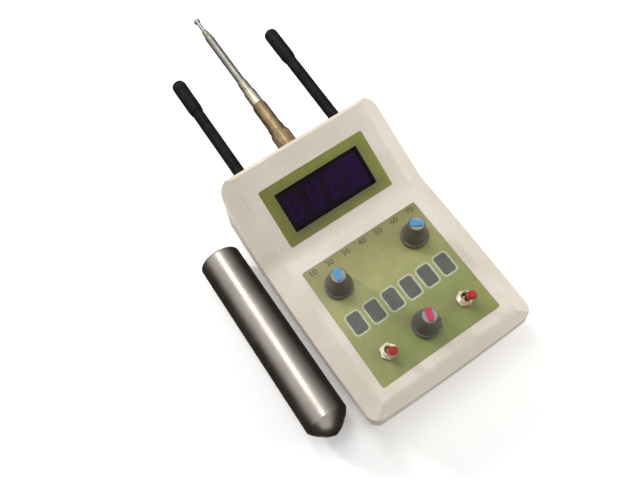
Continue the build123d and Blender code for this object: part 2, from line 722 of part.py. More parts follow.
def knob_pointer(x, y, rest):
    tongue = extrude(pointer_outline(0), amount=POINTER_SINK + POINTER_PROUD) & Cylinder(
        KNOB_CAP_R - PRESS_GAP, REACH
    )
    return place(CONTROL, Rot(0, 0, rest) * tongue, x, y, cap_top() - POINTER_SINK)


def switch_lugs():
    return [(index - 1) * SWITCH_LUG_PITCH for index in range(3)]


def switch_frame(name):
    """A switch's own plane on the control face, turned in its hole as the nut has left it."""
    turn = Rot(0, 0, SWITCH_TURN[name])
    return Plane(CONTROL.location * Pos(SIDES[name] * SWITCH_X, SWITCH_Y, 0) * turn)


def switch_body(name):
    """The box with three lugs, and a hole in its top for the bush's spigot."""
    frame = switch_frame(name)
    back = -WALL - SWITCH_DEPTH
    body = slab(frame, SWITCH_W, SWITCH_L, back, -WALL)
    for lug_y in switch_lugs():
        end = -MAIN_BOARD_DEPTH - BOARD_T - LUG_PAST_BOARD
        body += rod(frame, SWITCH_LUG_R, end, back, y=lug_y)
    return body - rod(frame, SWITCH_SPIGOT_R + PRESS_GAP, -WALL - SWITCH_SPIGOT_H - PRESS_GAP, -WALL)


def switch_bush(name):
    """The plated threaded bush, with a ball seat, a flared mouth and a spigot pressed into the box."""
    frame = switch_frame(name)
    top = LABEL_TOP + SWITCH_BUSH_H
    body = rod(frame, SWITCH_BUSH_R, -WALL, top)
    body += rod(frame, SWITCH_SPIGOT_R, -WALL - SWITCH_SPIGOT_H, -WALL)
    seat = LEVER_BALL_R + RUN_GAP
    mouth = [(0, LEVER_PIVOT_Z - seat), (seat, LEVER_PIVOT_Z - seat), (seat, LEVER_PIVOT_Z + seat),
             (LEVER_MOUTH_R, top), (0, top)]
    return body - turned(frame, mouth)


def lever_frame(name):
    """The lever's own plane at its pivot, tipped towards the user as it rests."""
    return Plane(switch_frame(name).location * Pos(0, 0, LEVER_PIVOT_Z) * Rot(LEVER_TILT, 0, 0))


def switch_lever(name):
    frame = lever_frame(name)
    return place(frame, Sphere(LEVER_BALL_R)) + rod(frame, LEVER_R, 0, LEVER_LENGTH)


def lever_cap(name):
    """A soft push-on sleeve, narrow at its foot and rounded at its tip."""
    top = LEVER_CAP_FROM + LEVER_CAP_LENGTH
    profile = [(0, LEVER_CAP_FROM), (LEVER_CAP_NECK_R, LEVER_CAP_FROM),
               (LEVER_CAP_R, top - LEVER_CAP_R), (LEVER_CAP_R, top), (0, top)]
    body = turned(Plane.XY, profile)
    body = fillet(body.edges().sort_by(Axis.Z)[-1:], LEVER_CAP_DOME_R)
    body -= rod(Plane.XY, LEVER_R + PRESS_GAP, LEVER_CAP_FROM, LEVER_LENGTH + PRESS_GAP)
    return place(lever_frame(name), body)


def switch_nuts():
    top = LABEL_TOP + SWITCH_NUT_T
    bore = SWITCH_BUSH_R + THREAD_GAP
    return Compound([hex_nut(switch_frame(name), SWITCH_NUT_ACROSS, bore, LABEL_TOP, top) for name in SIDES])


def whip_socket(x):
    """A flanged bush through the wall, with a pin that the whip pushes over."""
    pin_top = SOCKET_FLANGE_T + WHIP_PIN_LENGTH
    profile = [(0, -WALL - SOCKET_IN), (SOCKET_R, -WALL - SOCKET_IN), (SOCKET_R, 0), (SOCKET_FLANGE_R, 0),
               (SOCKET_FLANGE_R, SOCKET_FLANGE_T), (WHIP_PIN_R, SOCKET_FLANGE_T), (WHIP_PIN_R, pin_top),
               (0, pin_top)]
    return turned(END_FACE, profile, x)


def whip(x):
    body = rod(END_FACE, WHIP_R, SOCKET_FLANGE_T, WHIP_LENGTH - WHIP_SLEEVE_LENGTH + WHIP_SLEEVE_LAP, x)
    hole = SOCKET_FLANGE_T + WHIP_PIN_LENGTH + PRESS_GAP
    return body - rod(END_FACE, WHIP_PIN_R + PRESS_GAP, SOCKET_FLANGE_T, hole, x)


def whip_sleeve(x):
    """The thicker closed tip, tapered down to the rod at its foot and domed at its end."""
    foot = WHIP_LENGTH - WHIP_SLEEVE_LENGTH
    bore, lap = WHIP_R + PRESS_GAP, foot + WHIP_SLEEVE_LAP + PRESS_GAP
    profile = [(bore, foot), (bore + WHIP_SLEEVE_LIP, foot), (WHIP_SLEEVE_R, foot + WHIP_SLEEVE_TAPER),
               (WHIP_SLEEVE_R, WHIP_LENGTH), (0, WHIP_LENGTH), (0, lap), (bore, lap)]
    body = turned(Plane.XY, profile)
    body = fillet(body.edges().sort_by(Axis.Z)[-1:], WHIP_DOME_R)
    return place(END_FACE, body, x)


def socket_nuts():
    low = -WALL - SOCKET_NUT_T
    nuts = [
        hex_nut(END_FACE, SOCKET_NUT_ACROSS, SOCKET_R + THREAD_GAP, low, -WALL, side * WHIP_X)
        for side in SIDES.values()
    ]
    nuts.append(hex_nut(END_FACE, MAST_NUT_ACROSS, MAST_SOCKET_R + THREAD_GAP, low, -WALL))
    return Compound(nuts)


def mast_bore(index):
    return MAST_RADII[index] - MAST_WALL


def mast_tube(index):
    """One tube: a collar that runs in the tube outside it, and a mouth crimped on the next one."""
    top, radius, bore = MAST_TOPS[index], MAST_RADII[index], mast_bore(index)
    low = top - MAST_LENGTHS[index]
    mouth = MAST_RADII[index + 1] + MAST_FIT
    outside = [(radius, low), (radius, top - MAST_CRIMP), (mouth + MAST_WALL, top)]
    inside = [(mouth, top), (mouth, top - MAST_CRIMP / 2), (bore, top - MAST_CRIMP)]
    if index == 0:
        return turned(END_FACE, outside + inside + [(bore, low + MAST_PLUG), (0, low + MAST_PLUG), (0, low)])
    collar = mast_bore(index - 1) - MAST_FIT
    foot = [(collar, low), (collar, low + MAST_COLLAR), (radius, low + MAST_COLLAR)]
    return turned(END_FACE, foot + outside[1:] + inside + [(bore, low)])


def mast_tip():
    """The innermost solid rod, with its collar and the ball on its end."""
    index = len(MAST_RADII) - 1
    top, radius = MAST_TOPS[index], MAST_RADII[index]
    low = top - MAST_LENGTHS[index]
    body = rod(END_FACE, radius, low, top + MAST_BALL_R)
    body += rod(END_FACE, mast_bore(index - 1) - MAST_FIT, low, low + MAST_COLLAR)
    return body + place(END_FACE, Sphere(MAST_BALL_R), z=top + MAST_BALL_R)


def mast_socket():
    """A flanged threaded bush through the wall, bored for the mast's fixed tube."""
    bore = MAST_RADII[0] + PRESS_GAP
    profile = [(bore, -WALL - SOCKET_IN), (MAST_SOCKET_R, -WALL - SOCKET_IN), (MAST_SOCKET_R, 0),
               (MAST_SOCKET_FLANGE_R, 0), (MAST_SOCKET_FLANGE_R, MAST_SOCKET_FLANGE_T),
               (bore, MAST_SOCKET_FLANGE_T)]
    return turned(END_FACE, profile)


def mast_ferrule():
    """The brass collar that clamps the fixed tube: a knurled grip below a tapered neck."""
    low = MAST_SOCKET_FLANGE_T
    top = low + FERRULE_LENGTH
    bore = MAST_RADII[0] + PRESS_GAP
    profile = [(bore, low), (FERRULE_R, low), (FERRULE_R, top - FERRULE_NECK),
               (FERRULE_NECK_R, top - FERRULE_NECK / 2), (FERRULE_NECK_R, top), (bore, top)]
    body = turned(END_FACE, profile)
    high = top - FERRULE_NECK - FERRULE_KNURL_R
    groove = Pos(FERRULE_R + FERRULE_KNURL_R / 2, 0, high - FERRULE_KNURL_LENGTH) * Cylinder(
        FERRULE_KNURL_R, FERRULE_KNURL_LENGTH, align=UP
    )
    turns = [Rot(0, 0, 360 * i / FERRULE_KNURLS) * groove for i in range(FERRULE_KNURLS)]
    return body - [place(END_FACE, one) for one in turns]


def battery():
    """A block battery lying across the case, its two studs to the right."""
    body = Box(BATTERY_L, BATTERY_W, BATTERY_T, align=UP)
    body = fillet(body.edges().filter_by(Axis.X), BATTERY_EDGE_R)
    for side in (-1, 1):
        stud = Pos(BATTERY_L / 2, side * STUD_PITCH / 2, BATTERY_T / 2) * Rot(0, 90, 0)
        body += stud * Cylinder(STUD_R, STUD_H, align=UP)
    return Pos(BATTERY_X, BATTERY_Y, BATTERY_Z) * body


def battery_snap():
    plate = Box(SNAP_T, SNAP_W, SNAP_H, align=(Align.MIN, Align.CENTER, Align.CENTER))
    plate = fillet(plate.edges().filter_by(Axis.X), SNAP_H / 3)
    for side in (-1, 1):
        hole = Pos(0, side * STUD_PITCH / 2, 0) * Rot(0, 90, 0)
        plate -= hole * Cylinder(STUD_R + PRESS_GAP, STUD_H + SNAP_GAP, align=UP)
    return Pos(BATTERY_X + BATTERY_L / 2, BATTERY_Y, BATTERY_Z + BATTERY_T / 2) * plate


def grip_bush():
    """The cup that the grip's flat end turns in, held by a flange on the floor's inside."""
    top = BUSH_DEPTH + BUSH_ROOF
    flange = BUSH_OUTER_R + BUSH_FLANGE
    profile = [(BUSH_R, 0), (BUSH_OUTER_R, 0), (BUSH_OUTER_R, WALL), (flange, WALL),
               (flange, WALL + BUSH_FLANGE_T), (BUSH_OUTER_R, WALL + BUSH_FLANGE_T), (BUSH_OUTER_R, top),
               (0, top), (0, BUSH_DEPTH), (BUSH_R, BUSH_DEPTH)]
    return turned(Plane.XY, profile)


def grip():
    """The turned steel bar: a rounded flat end, a long plain barrel and a bulging point past a seam."""
    end = -GRIP_LENGTH - GRIP_POINT
    seam, tip = (GRIP_R, -GRIP_LENGTH), (GRIP_TIP_R, end)
    run = GRIP_R - GRIP_TIP_R
    chord = hypot(run, GRIP_POINT)
    flank = (GRIP_R - run / 2 + GRIP_BULGE * GRIP_POINT / chord,
             end + GRIP_POINT / 2 - GRIP_BULGE * run / chord)
    sides = Polyline(tip, (0, end), (0, 0), (GRIP_R, 0), seam)
    profile = make_face([sides, ThreePointArc(seam, flank, tip)])
    body = revolve(profile, Axis.Y)
    body = fillet(body.edges().sort_by(Axis.Y)[-1:], GRIP_EDGE_R)
    return Pos(GRIP_X, GRIP_FAR_Y, GRIP_R) * body


def main():
    os.makedirs("parts", exist_ok=True)
    save("front_shell", front_shell())
    save("rear_shell", rear_shell())
    save("case_screws", case_screws())
    save("battery_door", battery_door())
    save("control_label", control_label())
    save("display_label", display_label())
    save("display_window", display_window())
    save("led_display", led_display())
    display = (DISPLAY, DISPLAY_BOARD_W, DISPLAY_BOARD_H, DISPLAY_BOARD_DEPTH)
    save("display_board", board(*display))
    save("display_board_screws", board_screws(*display))
    save("main_board", main_board())
    save("main_board_screws", board_screws(CONTROL, MAIN_BOARD_W, MAIN_BOARD_H, MAIN_BOARD_DEPTH))
    save("controller_chip", controller_chip())
    save("pot_nuts", pot_nuts())
    for name, (x, y) in KNOB_PLACES.items():
        save(f"pot_body_{name}", pot_body(x, y))
        save(f"pot_shaft_{name}", pot_shaft(x, y))
        save(f"knob_{name}", knob_body(x, y))
        save(f"knob_cap_{name}", knob_cap(x, y, KNOB_REST[name]))
        save(f"knob_pointer_{name}", knob_pointer(x, y, KNOB_REST[name]))
    save("switch_nuts", switch_nuts())
    save("socket_nuts", socket_nuts())
    for name, side in SIDES.items():
        save(f"switch_body_{name}", switch_body(name))
        save(f"switch_bush_{name}", switch_bush(name))
        save(f"switch_lever_{name}", switch_lever(name))
        save(f"lever_cap_{name}", lever_cap(name))
        save(f"whip_socket_{name}", whip_socket(side * WHIP_X))
        save(f"whip_{name}", whip(side * WHIP_X))
        save(f"whip_sleeve_{name}", whip_sleeve(side * WHIP_X))
    save("mast_socket", mast_socket())
    save("mast_ferrule", mast_ferrule())
    save("mast_base", mast_tube(0))
    for index in range(1, len(MAST_RADII) - 1):
        save(f"mast_section_{index}", mast_tube(index))
    save("mast_tip", mast_tip())
    save("battery", battery())
    save("battery_snap", battery_snap())
    save("grip_bush", grip_bush())
    save("grip", grip())


main()
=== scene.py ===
"""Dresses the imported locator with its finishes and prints, and sets it on a pale studio floor."""

import json
from math import cos, radians, sin, tan

import bmesh
import bpy
import numpy as np
from bpy.props import FloatProperty, FloatVectorProperty, IntProperty, PointerProperty
from mathutils import Matrix, Vector


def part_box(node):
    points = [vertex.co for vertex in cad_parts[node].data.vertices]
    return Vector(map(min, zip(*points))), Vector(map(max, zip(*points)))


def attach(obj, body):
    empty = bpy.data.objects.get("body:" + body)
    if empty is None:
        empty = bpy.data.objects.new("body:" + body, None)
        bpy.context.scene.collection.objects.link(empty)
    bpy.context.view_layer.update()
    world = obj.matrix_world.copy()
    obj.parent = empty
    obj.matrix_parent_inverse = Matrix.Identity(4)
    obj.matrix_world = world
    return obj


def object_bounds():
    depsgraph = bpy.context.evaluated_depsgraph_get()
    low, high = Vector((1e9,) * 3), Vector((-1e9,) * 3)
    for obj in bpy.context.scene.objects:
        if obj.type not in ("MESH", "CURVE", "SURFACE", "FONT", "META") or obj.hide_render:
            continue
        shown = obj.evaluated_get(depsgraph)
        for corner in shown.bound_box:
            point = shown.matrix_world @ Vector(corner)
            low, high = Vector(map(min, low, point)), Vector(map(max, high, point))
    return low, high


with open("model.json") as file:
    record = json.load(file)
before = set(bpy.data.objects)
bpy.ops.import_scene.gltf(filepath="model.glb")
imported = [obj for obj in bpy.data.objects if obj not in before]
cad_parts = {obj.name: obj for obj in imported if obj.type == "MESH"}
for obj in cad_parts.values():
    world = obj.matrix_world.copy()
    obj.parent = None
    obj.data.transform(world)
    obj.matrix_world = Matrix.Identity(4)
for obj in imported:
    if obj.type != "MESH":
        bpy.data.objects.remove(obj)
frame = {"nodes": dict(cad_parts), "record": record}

bl_info = {
    "name": "Long range locator",
    "version": (1, 0, 0),
    "blender": (4, 5, 0),
    "location": "3D View > Sidebar > Locator",
    "description": "Finishes, prints and a studio for a hand-held locator",
    "category": "Object",
}

MM = 0.001
NODES = frame["nodes"]
CAD_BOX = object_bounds()
SLOT_NODES = {}
for part in frame["record"]["subparts"]:
    SLOT_NODES.setdefault(part["material_slot"], []).append(part["node"])

# The slopes of the two faces that carry print and digits, and the antennas' lean.
CONTROL_SLOPE = radians(4)
DISPLAY_SLOPE = radians(31)
ANTENNA_LEAN = radians(8.5)

# The labels and the ink on them; a corner is a share of a block's width, a figure one of the letter size.
LABEL_T = 0.5 * MM
PRINT_T = 0.05 * MM
PRINT_SINK = 0.02 * MM
PRINT_EDGE = PRINT_T / 4
BLOCK_CORNER_SHARE = 0.2
SCALE_NUMBERS = range(10, 80, 10)
FIGURE_SHARE = 0.72
MERGE_REACH = 0.001 * MM

# The digit block, and its bars from foot to top below the block's front.
LED_T = 8.0 * MM
DIGITS = 4
SEGMENT_FOOT = -0.5 * MM
SEGMENT_TOP = -0.1 * MM
SEGMENT_EDGE = 0.1 * MM
SEGMENT_GAP_SHARE = 0.14

# Where the case is marked: specks of dirt along its fold, and painted shade in the creases of its side
# bevels where they face up.
FOLD_Y = 22 * MM
FOLD_REACH = 30 * MM
CREASE_X = 41.5 * MM
CREASE_W = 0.45 * MM
CREASE_UP = (0.73, 0.76)

# The photograph's camera, solved on the case's corners and the labels.
CAMERA_PLACE = Vector((-82.85, -121.58, 349.20)) * MM
CAMERA_LOOK = Vector((0.1843, 0.4117, -0.8925))
CAMERA_UP = Vector((0.5306, 0.7227, 0.4429))
CAMERA_LENS = 36.97
SENSOR = 36.0


def srgb(red, green, blue):
    """A screen colour from 0 to 255 as the linear colour that the shaders take."""
    c = np.array([red, green, blue]) / 255
    linear = np.where(c <= 0.04045, c / 12.92, ((c + 0.055) / 1.055) ** 2.4)
    return tuple(float(x) for x in linear)


def dimmed(colour, share):
    return tuple(c * share for c in colour)


def rgba(colour):
    return (*colour, 1.0)


WHITE = srgb(255, 255, 255)


def colour_prop(name, description, red, green, blue):
    return FloatVectorProperty(name=name, description=description, subtype="COLOR", size=3, min=0, max=1,
                               default=srgb(red, green, blue))


def length_prop(name, description, millimetres):
    return FloatProperty(name=name, description=description, unit="LENGTH", subtype="DISTANCE", min=0,
                         default=millimetres * MM)


def power_prop(name, description, watts):
    return FloatProperty(name=name, description=description, unit="POWER", min=0, default=watts)


def share_prop(name, description, share):
    return FloatProperty(name=name, description=description, subtype="FACTOR", min=0, max=1, default=share)


class LocatorColours(bpy.types.PropertyGroup):
    """The colours of the finishes."""

    ivory: colour_prop("Ivory", "Moulded plastic of the case", 227, 217, 204)
    ivory_worn: colour_prop("Worn ivory", "Handled patches of the case", 216, 205, 188)
    label_low: colour_prop("Label, near end", "Control label beside the user", 126, 136, 76)
    label_high: colour_prop("Label, pale band", "Control label between the knobs", 174, 172, 114)
    label_display: colour_prop("Label, display", "Label round the display", 121, 124, 46)
    ink: colour_prop("Ink", "Dark blocks of the level bar", 88, 92, 82)
    outline: colour_prop("Outline", "Pale edge round the dark blocks", 190, 194, 166)
    window: colour_prop("Window tint", "Tint of the display window", 92, 40, 104)
    # Painted light: the digits and the block round them glow, in place of the light that reaches them
    # through the window.
    digits: colour_prop("Digits", "Glow of the digit segments", 104, 52, 158)
    block: colour_prop("Digit block", "Faint glow of the block round the digits", 78, 52, 70)
    knob: colour_prop("Knobs", "Soft grey of the knobs", 92, 88, 80)
    cap: colour_prop("Knob caps", "Disc in each knob's top", 160, 160, 158)
    pointer_blue: colour_prop("Upper pointers", "Pointers of the two upper knobs", 80, 150, 198)
    pointer_red: colour_prop("Lower pointer", "Pointer of the lower knob", 202, 50, 82)
    toggle: colour_prop("Toggle caps", "Soft caps on the switch levers", 178, 22, 28)
    nickel: colour_prop("Nickel", "Plated nuts and levers", 226, 216, 198)
    rubber: colour_prop("Rubber", "Whips and their sleeves", 12, 12, 12)
    brass: colour_prop("Brass", "Foot of the mast", 164, 144, 112)
    section_1: colour_prop("Mast section 1", "Pale plating of the widest section", 214, 203, 178)
    section_2: colour_prop("Mast section 2", "Plating of the second section", 176, 168, 148)
    section_3: colour_prop("Mast section 3", "Plating of the third section", 158, 154, 144)
    section_4: colour_prop("Mast section 4", "Plating of the fourth section", 164, 154, 132)
    mast_end: colour_prop("Mast tip", "Plating of the tip and its ball", 192, 193, 194)
    steel: colour_prop("Steel", "Turned grip", 168, 160, 151)


class LocatorPrints(bpy.types.PropertyGroup):
    """The sizes of the prints and of the digits."""

    digit_height: length_prop("Digit height", "Height of the digits", 14.2)
    digit_width: length_prop("Digit width", "Width between the middles of the upright segments", 6.6)
    digit_pitch: length_prop("Digit pitch", "Distance from digit to digit", 12.7)
    digit_slant: FloatProperty(name="Digit slant", description="Lean of the digits", subtype="ANGLE",
                               default=radians(10))
    segment: length_prop("Segment width", "Width of a lit bar", 2.1)
    number_height: length_prop("Number height", "Height of the scale numbers", 3.3)
    number_weight: length_prop("Number weight", "How much the scale numbers' strokes are thickened", 0.07)
    number_span: length_prop("Number span", "Distance from the first number to the last", 63)
    number_edge: length_prop("Number edge", "From the label's far edge to the middle of the numbers", 3.0)
    block_count: IntProperty(name="Blocks", description="Blocks in the level bar", min=2, max=20, default=6)
    block_pitch: length_prop("Block pitch", "Distance from block to block", 11.2)
    block_width: length_prop("Block width", "Width of a dark block", 7.4)
    block_height: length_prop("Block height", "Height of a dark block", 11.4)
    block_line: length_prop("Block outline", "Width of the pale edge", 1.1)
    block_place: length_prop("Block place", "Middle of the bar, below the label's middle", 2.0)


class LocatorStage(bpy.types.PropertyGroup):
    """The floor and the light."""

    floor: colour_prop("Floor", "Colour of the floor", 240, 239, 237)
    floor_lift: share_prop("Floor lift", "Light that lifts the floor to the white of the background", 0.26)
    # The cards are painted reflections: sheets seen only in reflections, which darken the edges of the
    # metal.
    card: colour_prop("Dark cards", "Foot of the cards that polished pieces mirror", 58, 54, 50)
    antenna_card: colour_prop("Grey card", "Card under the mast that polished pieces mirror", 96, 92, 86)
    sky: share_prop("Sky", "Strength of the even light from all round", 0.42)
    key_power: power_prop("Key light", "Power of the lamp overhead", 2.65)
    key_width: length_prop("Key width", "Width of the lamp overhead", 190)
    key_length: length_prop("Key length", "Length of the lamp overhead", 620)
    right_power: power_prop("Right light", "Power of the soft lamp at the user's right", 1.05)
    right_size: length_prop("Right light size", "Width of the soft lamp at the user's right", 400)
    left_power: power_prop("Left light", "Power of the lamp at the far left, which casts the shadows", 2.5)
    left_size: length_prop("Left light size", "Width of the lamp at the far left", 110)


class LocatorSettings(bpy.types.PropertyGroup):
    """All that can be changed."""

    colours: PointerProperty(type=LocatorColours)
    prints: PointerProperty(type=LocatorPrints)
    stage: PointerProperty(type=LocatorStage)


def settings():
    return bpy.context.scene.locator


class Face:
    """A sloping face: the middle of a slab's upper side, with x across, u up the slope and n out of it."""

    def __init__(self, node, slope, thickness):
        low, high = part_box(node)
        self.slope = slope
        self.x = np.array([1.0, 0.0, 0.0])
        self.u = np.array([0.0, cos(slope), sin(slope)])
        self.n = np.array([0.0, -sin(slope), cos(slope)])
        self.origin = np.array((low + high) / 2) + self.n * thickness / 2
        self.size = (high.x - low.x, (high.y - low.y) / cos(slope))

    def at(self, points):
        """Points (x, u, n) on the face as points in the part's frame."""
        return self.origin + np.asarray(points) @ np.stack([self.x, self.u, self.n])

    def matrix(self, x, u, n):
        """The move that lays a flat print on the face, with its middle at (x, u, n)."""
        rows = np.eye(4)
        rows[:3, :3] = np.stack([self.x, self.u, self.n], axis=1)
        rows[:3, 3] = self.at([x, u, n])
        return Matrix(rows.tolist())


# Shader helpers


def fill(tree, socket, value):
    """Links another node's output into a socket, or sets the socket's own value."""
    if isinstance(value, bpy.types.NodeSocket):
        tree.links.new(value, socket)
    else:
        socket.default_value = value


def put(tree, kind, inputs=(), **options):
    """Adds a node, sets its options, and fills its inputs with values or with other nodes' outputs."""
    node = tree.nodes.new(kind)
    for name, value in options.items():
        setattr(node, name, value)
    for name, value in dict(inputs).items():
        fill(tree, node.inputs[name], value)
    return node


def maths(tree, operation, first, second=0.0):
    return put(tree, "ShaderNodeMath", {0: first, 1: second}, operation=operation).outputs[0]


def times(tree, first, second):
    return maths(tree, "MULTIPLY", first, second)


def absolute(tree, value):
    return maths(tree, "ABSOLUTE", value)


def blend(tree, share, first, second, mode="MIX"):
    """A colour between first and second, both RGBA values or sockets."""
    sockets = {0: share, 6: first, 7: second}
    return put(tree, "ShaderNodeMix", sockets, data_type="RGBA", blend_type=mode).outputs[2]


def ramp(tree, value, low, high, to_low=0.0, to_high=1.0):
    """A straight, clamped change from to_low to to_high while value goes from low to high."""
    return put(tree, "ShaderNodeMapRange", {0: value, 1: low, 2: high, 3: to_low, 4: to_high}).outputs[0]


def axes(tree, vector):
    """A vector's x, y and z."""
    return put(tree, "ShaderNodeSeparateXYZ", {"Vector": vector}).outputs


def cloud(tree, vector, scale, detail, roughness=0.5):
    """Soft noise from 0 to 1."""
    inputs = {"Vector": vector, "Scale": scale, "Detail": detail, "Roughness": roughness}
    return put(tree, "ShaderNodeTexNoise", inputs).outputs["Fac"]


def new_group(name, inputs, outputs):
    """An empty shader group: its tree, the values given to it, and the sockets that it fills."""
    tree = bpy.data.node_groups.new(name, "ShaderNodeTree")
    for names, way in ((inputs, "INPUT"), (outputs, "OUTPUT")):
        for socket, kind in names.items():
            tree.interface.new_socket(name=socket, in_out=way, socket_type=f"NodeSocket{kind}")
    return tree, put(tree, "NodeGroupInput").outputs, put(tree, "NodeGroupOutput").inputs


def tone_group():
    """Two tones of one colour that drift into each other in soft patches."""
    tree, given, out = new_group("Tone", {"Vector": "Vector", "Light": "Color", "Dark": "Color",
                                          "Scale": "Float"}, {"Color": "Color"})
    patches = ramp(tree, cloud(tree, given["Vector"], given["Scale"], detail=4.0, roughness=0.6), 0.36, 0.66)
    fill(tree, out["Color"], blend(tree, patches, given["Light"], given["Dark"]))
    return tree


def grain_group():
    """A fine moulded or cast grain: small noise with shallow pits."""
    tree, given, out = new_group("Grain", {"Vector": "Vector", "Scale": "Float"}, {"Height": "Float"})
    fine = cloud(tree, given["Vector"], given["Scale"], detail=2.0)
    cells = put(tree, "ShaderNodeTexVoronoi", {"Vector": given["Vector"], "Scale": given["Scale"]})
    pits = times(tree, cells.outputs["Distance"], 0.6)
    fill(tree, out["Height"], maths(tree, "ADD", fine, pits))
    return tree


def specks_group():
    """A few small specks of dirt: the cores of sparse cells, with a soft rim."""
    tree, given, out = new_group("Specks", {"Vector": "Vector", "Scale": "Float", "Size": "Float"},
                                 {"Mask": "Float"})
    cells = put(tree, "ShaderNodeTexVoronoi", {"Vector": given["Vector"], "Scale": given["Scale"]}).outputs
    core = ramp(tree, cells["Distance"], given["Size"], 0.0)
    chance = put(tree, "ShaderNodeSeparateColor", {"Color": cells["Color"]}).outputs["Red"]
    fill(tree, out["Mask"], times(tree, core, ramp(tree, chance, 0.55, 0.75)))
    return tree


def rubs_group():
    """Handling marks: stretched clouds that cross each other, from 0 clean to 1 rubbed."""
    tree, given, out = new_group("Rubs", {"Vector": "Vector", "Scale": "Float"}, {"Mask": "Float"})
    marks = []
    for stretch in ((1.0, 0.22, 0.6), (0.3, 1.0, 0.5)):
        spread = put(tree, "ShaderNodeMapping", {"Vector": given["Vector"], "Scale": stretch})
        smear = cloud(tree, spread.outputs["Vector"], given["Scale"], detail=5.0, roughness=0.65)
        marks.append(ramp(tree, smear, 0.45, 0.7))
    fill(tree, out["Mask"], maths(tree, "MAXIMUM", *marks))
    return tree


def lines_group():
    """Fine lines round a turned or drawn piece: noise of the distance along its axis alone."""
    tree, given, out = new_group("Lines", {"Along": "Float", "Scale": "Float"},
                                 {"Height": "Float", "Mask": "Float"})
    along = times(tree, given["Along"], given["Scale"])

    def noise(scale, detail):
        inputs = {"W": along, "Scale": scale, "Detail": detail}
        return put(tree, "ShaderNodeTexNoise", inputs, noise_dimensions="1D").outputs["Fac"]

    fill(tree, out["Height"], noise(scale=1.0, detail=3.0))
    fill(tree, out["Mask"], ramp(tree, noise(scale=0.09, detail=1.0), 0.4, 0.65))
    return tree


def dust_group():
    """Pale dust on what faces up, broken by a cloud."""
    tree, given, out = new_group("Dust", {"Vector": "Vector", "Normal": "Vector", "Scale": "Float"},
                                 {"Mask": "Float"})
    up = ramp(tree, axes(tree, given["Normal"])["Z"], 0.2, 0.9)
    broken = ramp(tree, cloud(tree, given["Vector"], given["Scale"], detail=6.0, roughness=0.7), 0.42, 0.72)
    fill(tree, out["Mask"], times(tree, up, broken))
    return tree


GROUP_MAKERS = {"Tone": tone_group, "Grain": grain_group, "Specks": specks_group, "Rubs": rubs_group,
                "Lines": lines_group, "Dust": dust_group}


class Finish:
    """A material being made: its tree, its shader, and the object's own coordinates."""

    def __init__(self, name):
        self.material = bpy.data.materials.new(name)
        self.material.use_nodes = True
        self.tree = self.material.node_tree
        self.shader = self.tree.nodes["Principled BSDF"]
        self.place = put(self.tree, "ShaderNodeTexCoord").outputs["Object"]

    def set(self, **values):
        """Plain values and sockets for the shader; an underscore in a name stands for a space."""
        for name, value in values.items():
            fill(self.tree, self.shader.inputs[name.replace("_", " ")], value)
        return self

    def group(self, name, output, **inputs):
        """One output of a shared effect, placed with this material's own values."""
        shared = bpy.data.node_groups.get(name) or GROUP_MAKERS[name]()
        if "Vector" in shared.interface.items_tree:
            inputs.setdefault("Vector", self.place)
        return put(self.tree, "ShaderNodeGroup", inputs, node_tree=shared).outputs[output]

    def tone(self, light, dark, scale):
        return self.group("Tone", "Color", Light=rgba(light), Dark=rgba(dark), Scale=scale)

    def normal(self):
        return put(self.tree, "ShaderNodeNewGeometry").outputs["Normal"]

    def on_face(self, face):
        """The face's own coordinates: x and u run from -1 to 1 over it."""
        half = (face.size[0] / 2, face.size[1] / 2, 1.0)
        local = put(self.tree, "ShaderNodeMapping",
                    {"Vector": self.place, "Location": tuple(face.origin), "Rotation": (face.slope, 0, 0),
                     "Scale": half}, vector_type="TEXTURE")
        return axes(self.tree, local.outputs["Vector"])

    def along(self, lean):
        """The distance along an axis in the plane of y and z that leans up by an angle."""
        axis = (0.0, cos(lean), sin(lean))
        dot = put(self.tree, "ShaderNodeVectorMath", {0: self.place, 1: axis}, operation="DOT_PRODUCT")
        return dot.outputs["Value"]

    def bump(self, height, distance, strength=1.0):
        inputs = {"Height": height, "Distance": distance, "Strength": strength}
        raised = put(self.tree, "ShaderNodeBump", inputs)
        return self.set(Normal=raised.outputs["Normal"])

    def grain(self, scale, distance, strength=1.0):
        return self.bump(self.group("Grain", "Height", Scale=scale), distance, strength)

    def rubbed(self, scale, clean, worn):
        """Roughness between clean and worn, by the handling marks."""
        mask = self.group("Rubs", "Mask", Scale=scale)
        return self.set(Roughness=ramp(self.tree, mask, 0.0, 1.0, clean, worn))

    def dusted(self, colour, dust, share, scale):
        """A colour under a thin broken layer of dust."""
        mask = self.group("Dust", "Mask", Normal=self.normal(), Scale=scale)
        return blend(self.tree, times(self.tree, mask, share), colour, rgba(dust))


def dress(material, *nodes):
    """Gives a CAD node's slots a new material."""
    for name in nodes:
        for place in NODES[name].material_slots:
            place.material = material


# Mesh helpers


def surface(name, points, faces):
    """A mesh from arrays of points and of faces."""
    mesh = bpy.data.meshes.new(name)
    mesh.from_pydata(np.asarray(points).tolist(), [], [list(face) for face in faces])
    mesh.validate()
    return mesh


def add_piece(name, mesh, material, body):
    """A mesh that stands in the part's frame, as a new piece that rides on a body."""
    piece = bpy.data.objects.new(name, mesh)
    bpy.context.scene.collection.objects.link(piece)
    mesh.materials.clear()
    mesh.materials.append(material)
    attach(piece, body)


def row(count, pitch, y=0.0):
    """The middles (x, y) of count pieces in a row, a pitch apart."""
    x = (np.arange(count) - (count - 1) / 2) * pitch
    return np.stack([x, np.full(count, y)], axis=1)


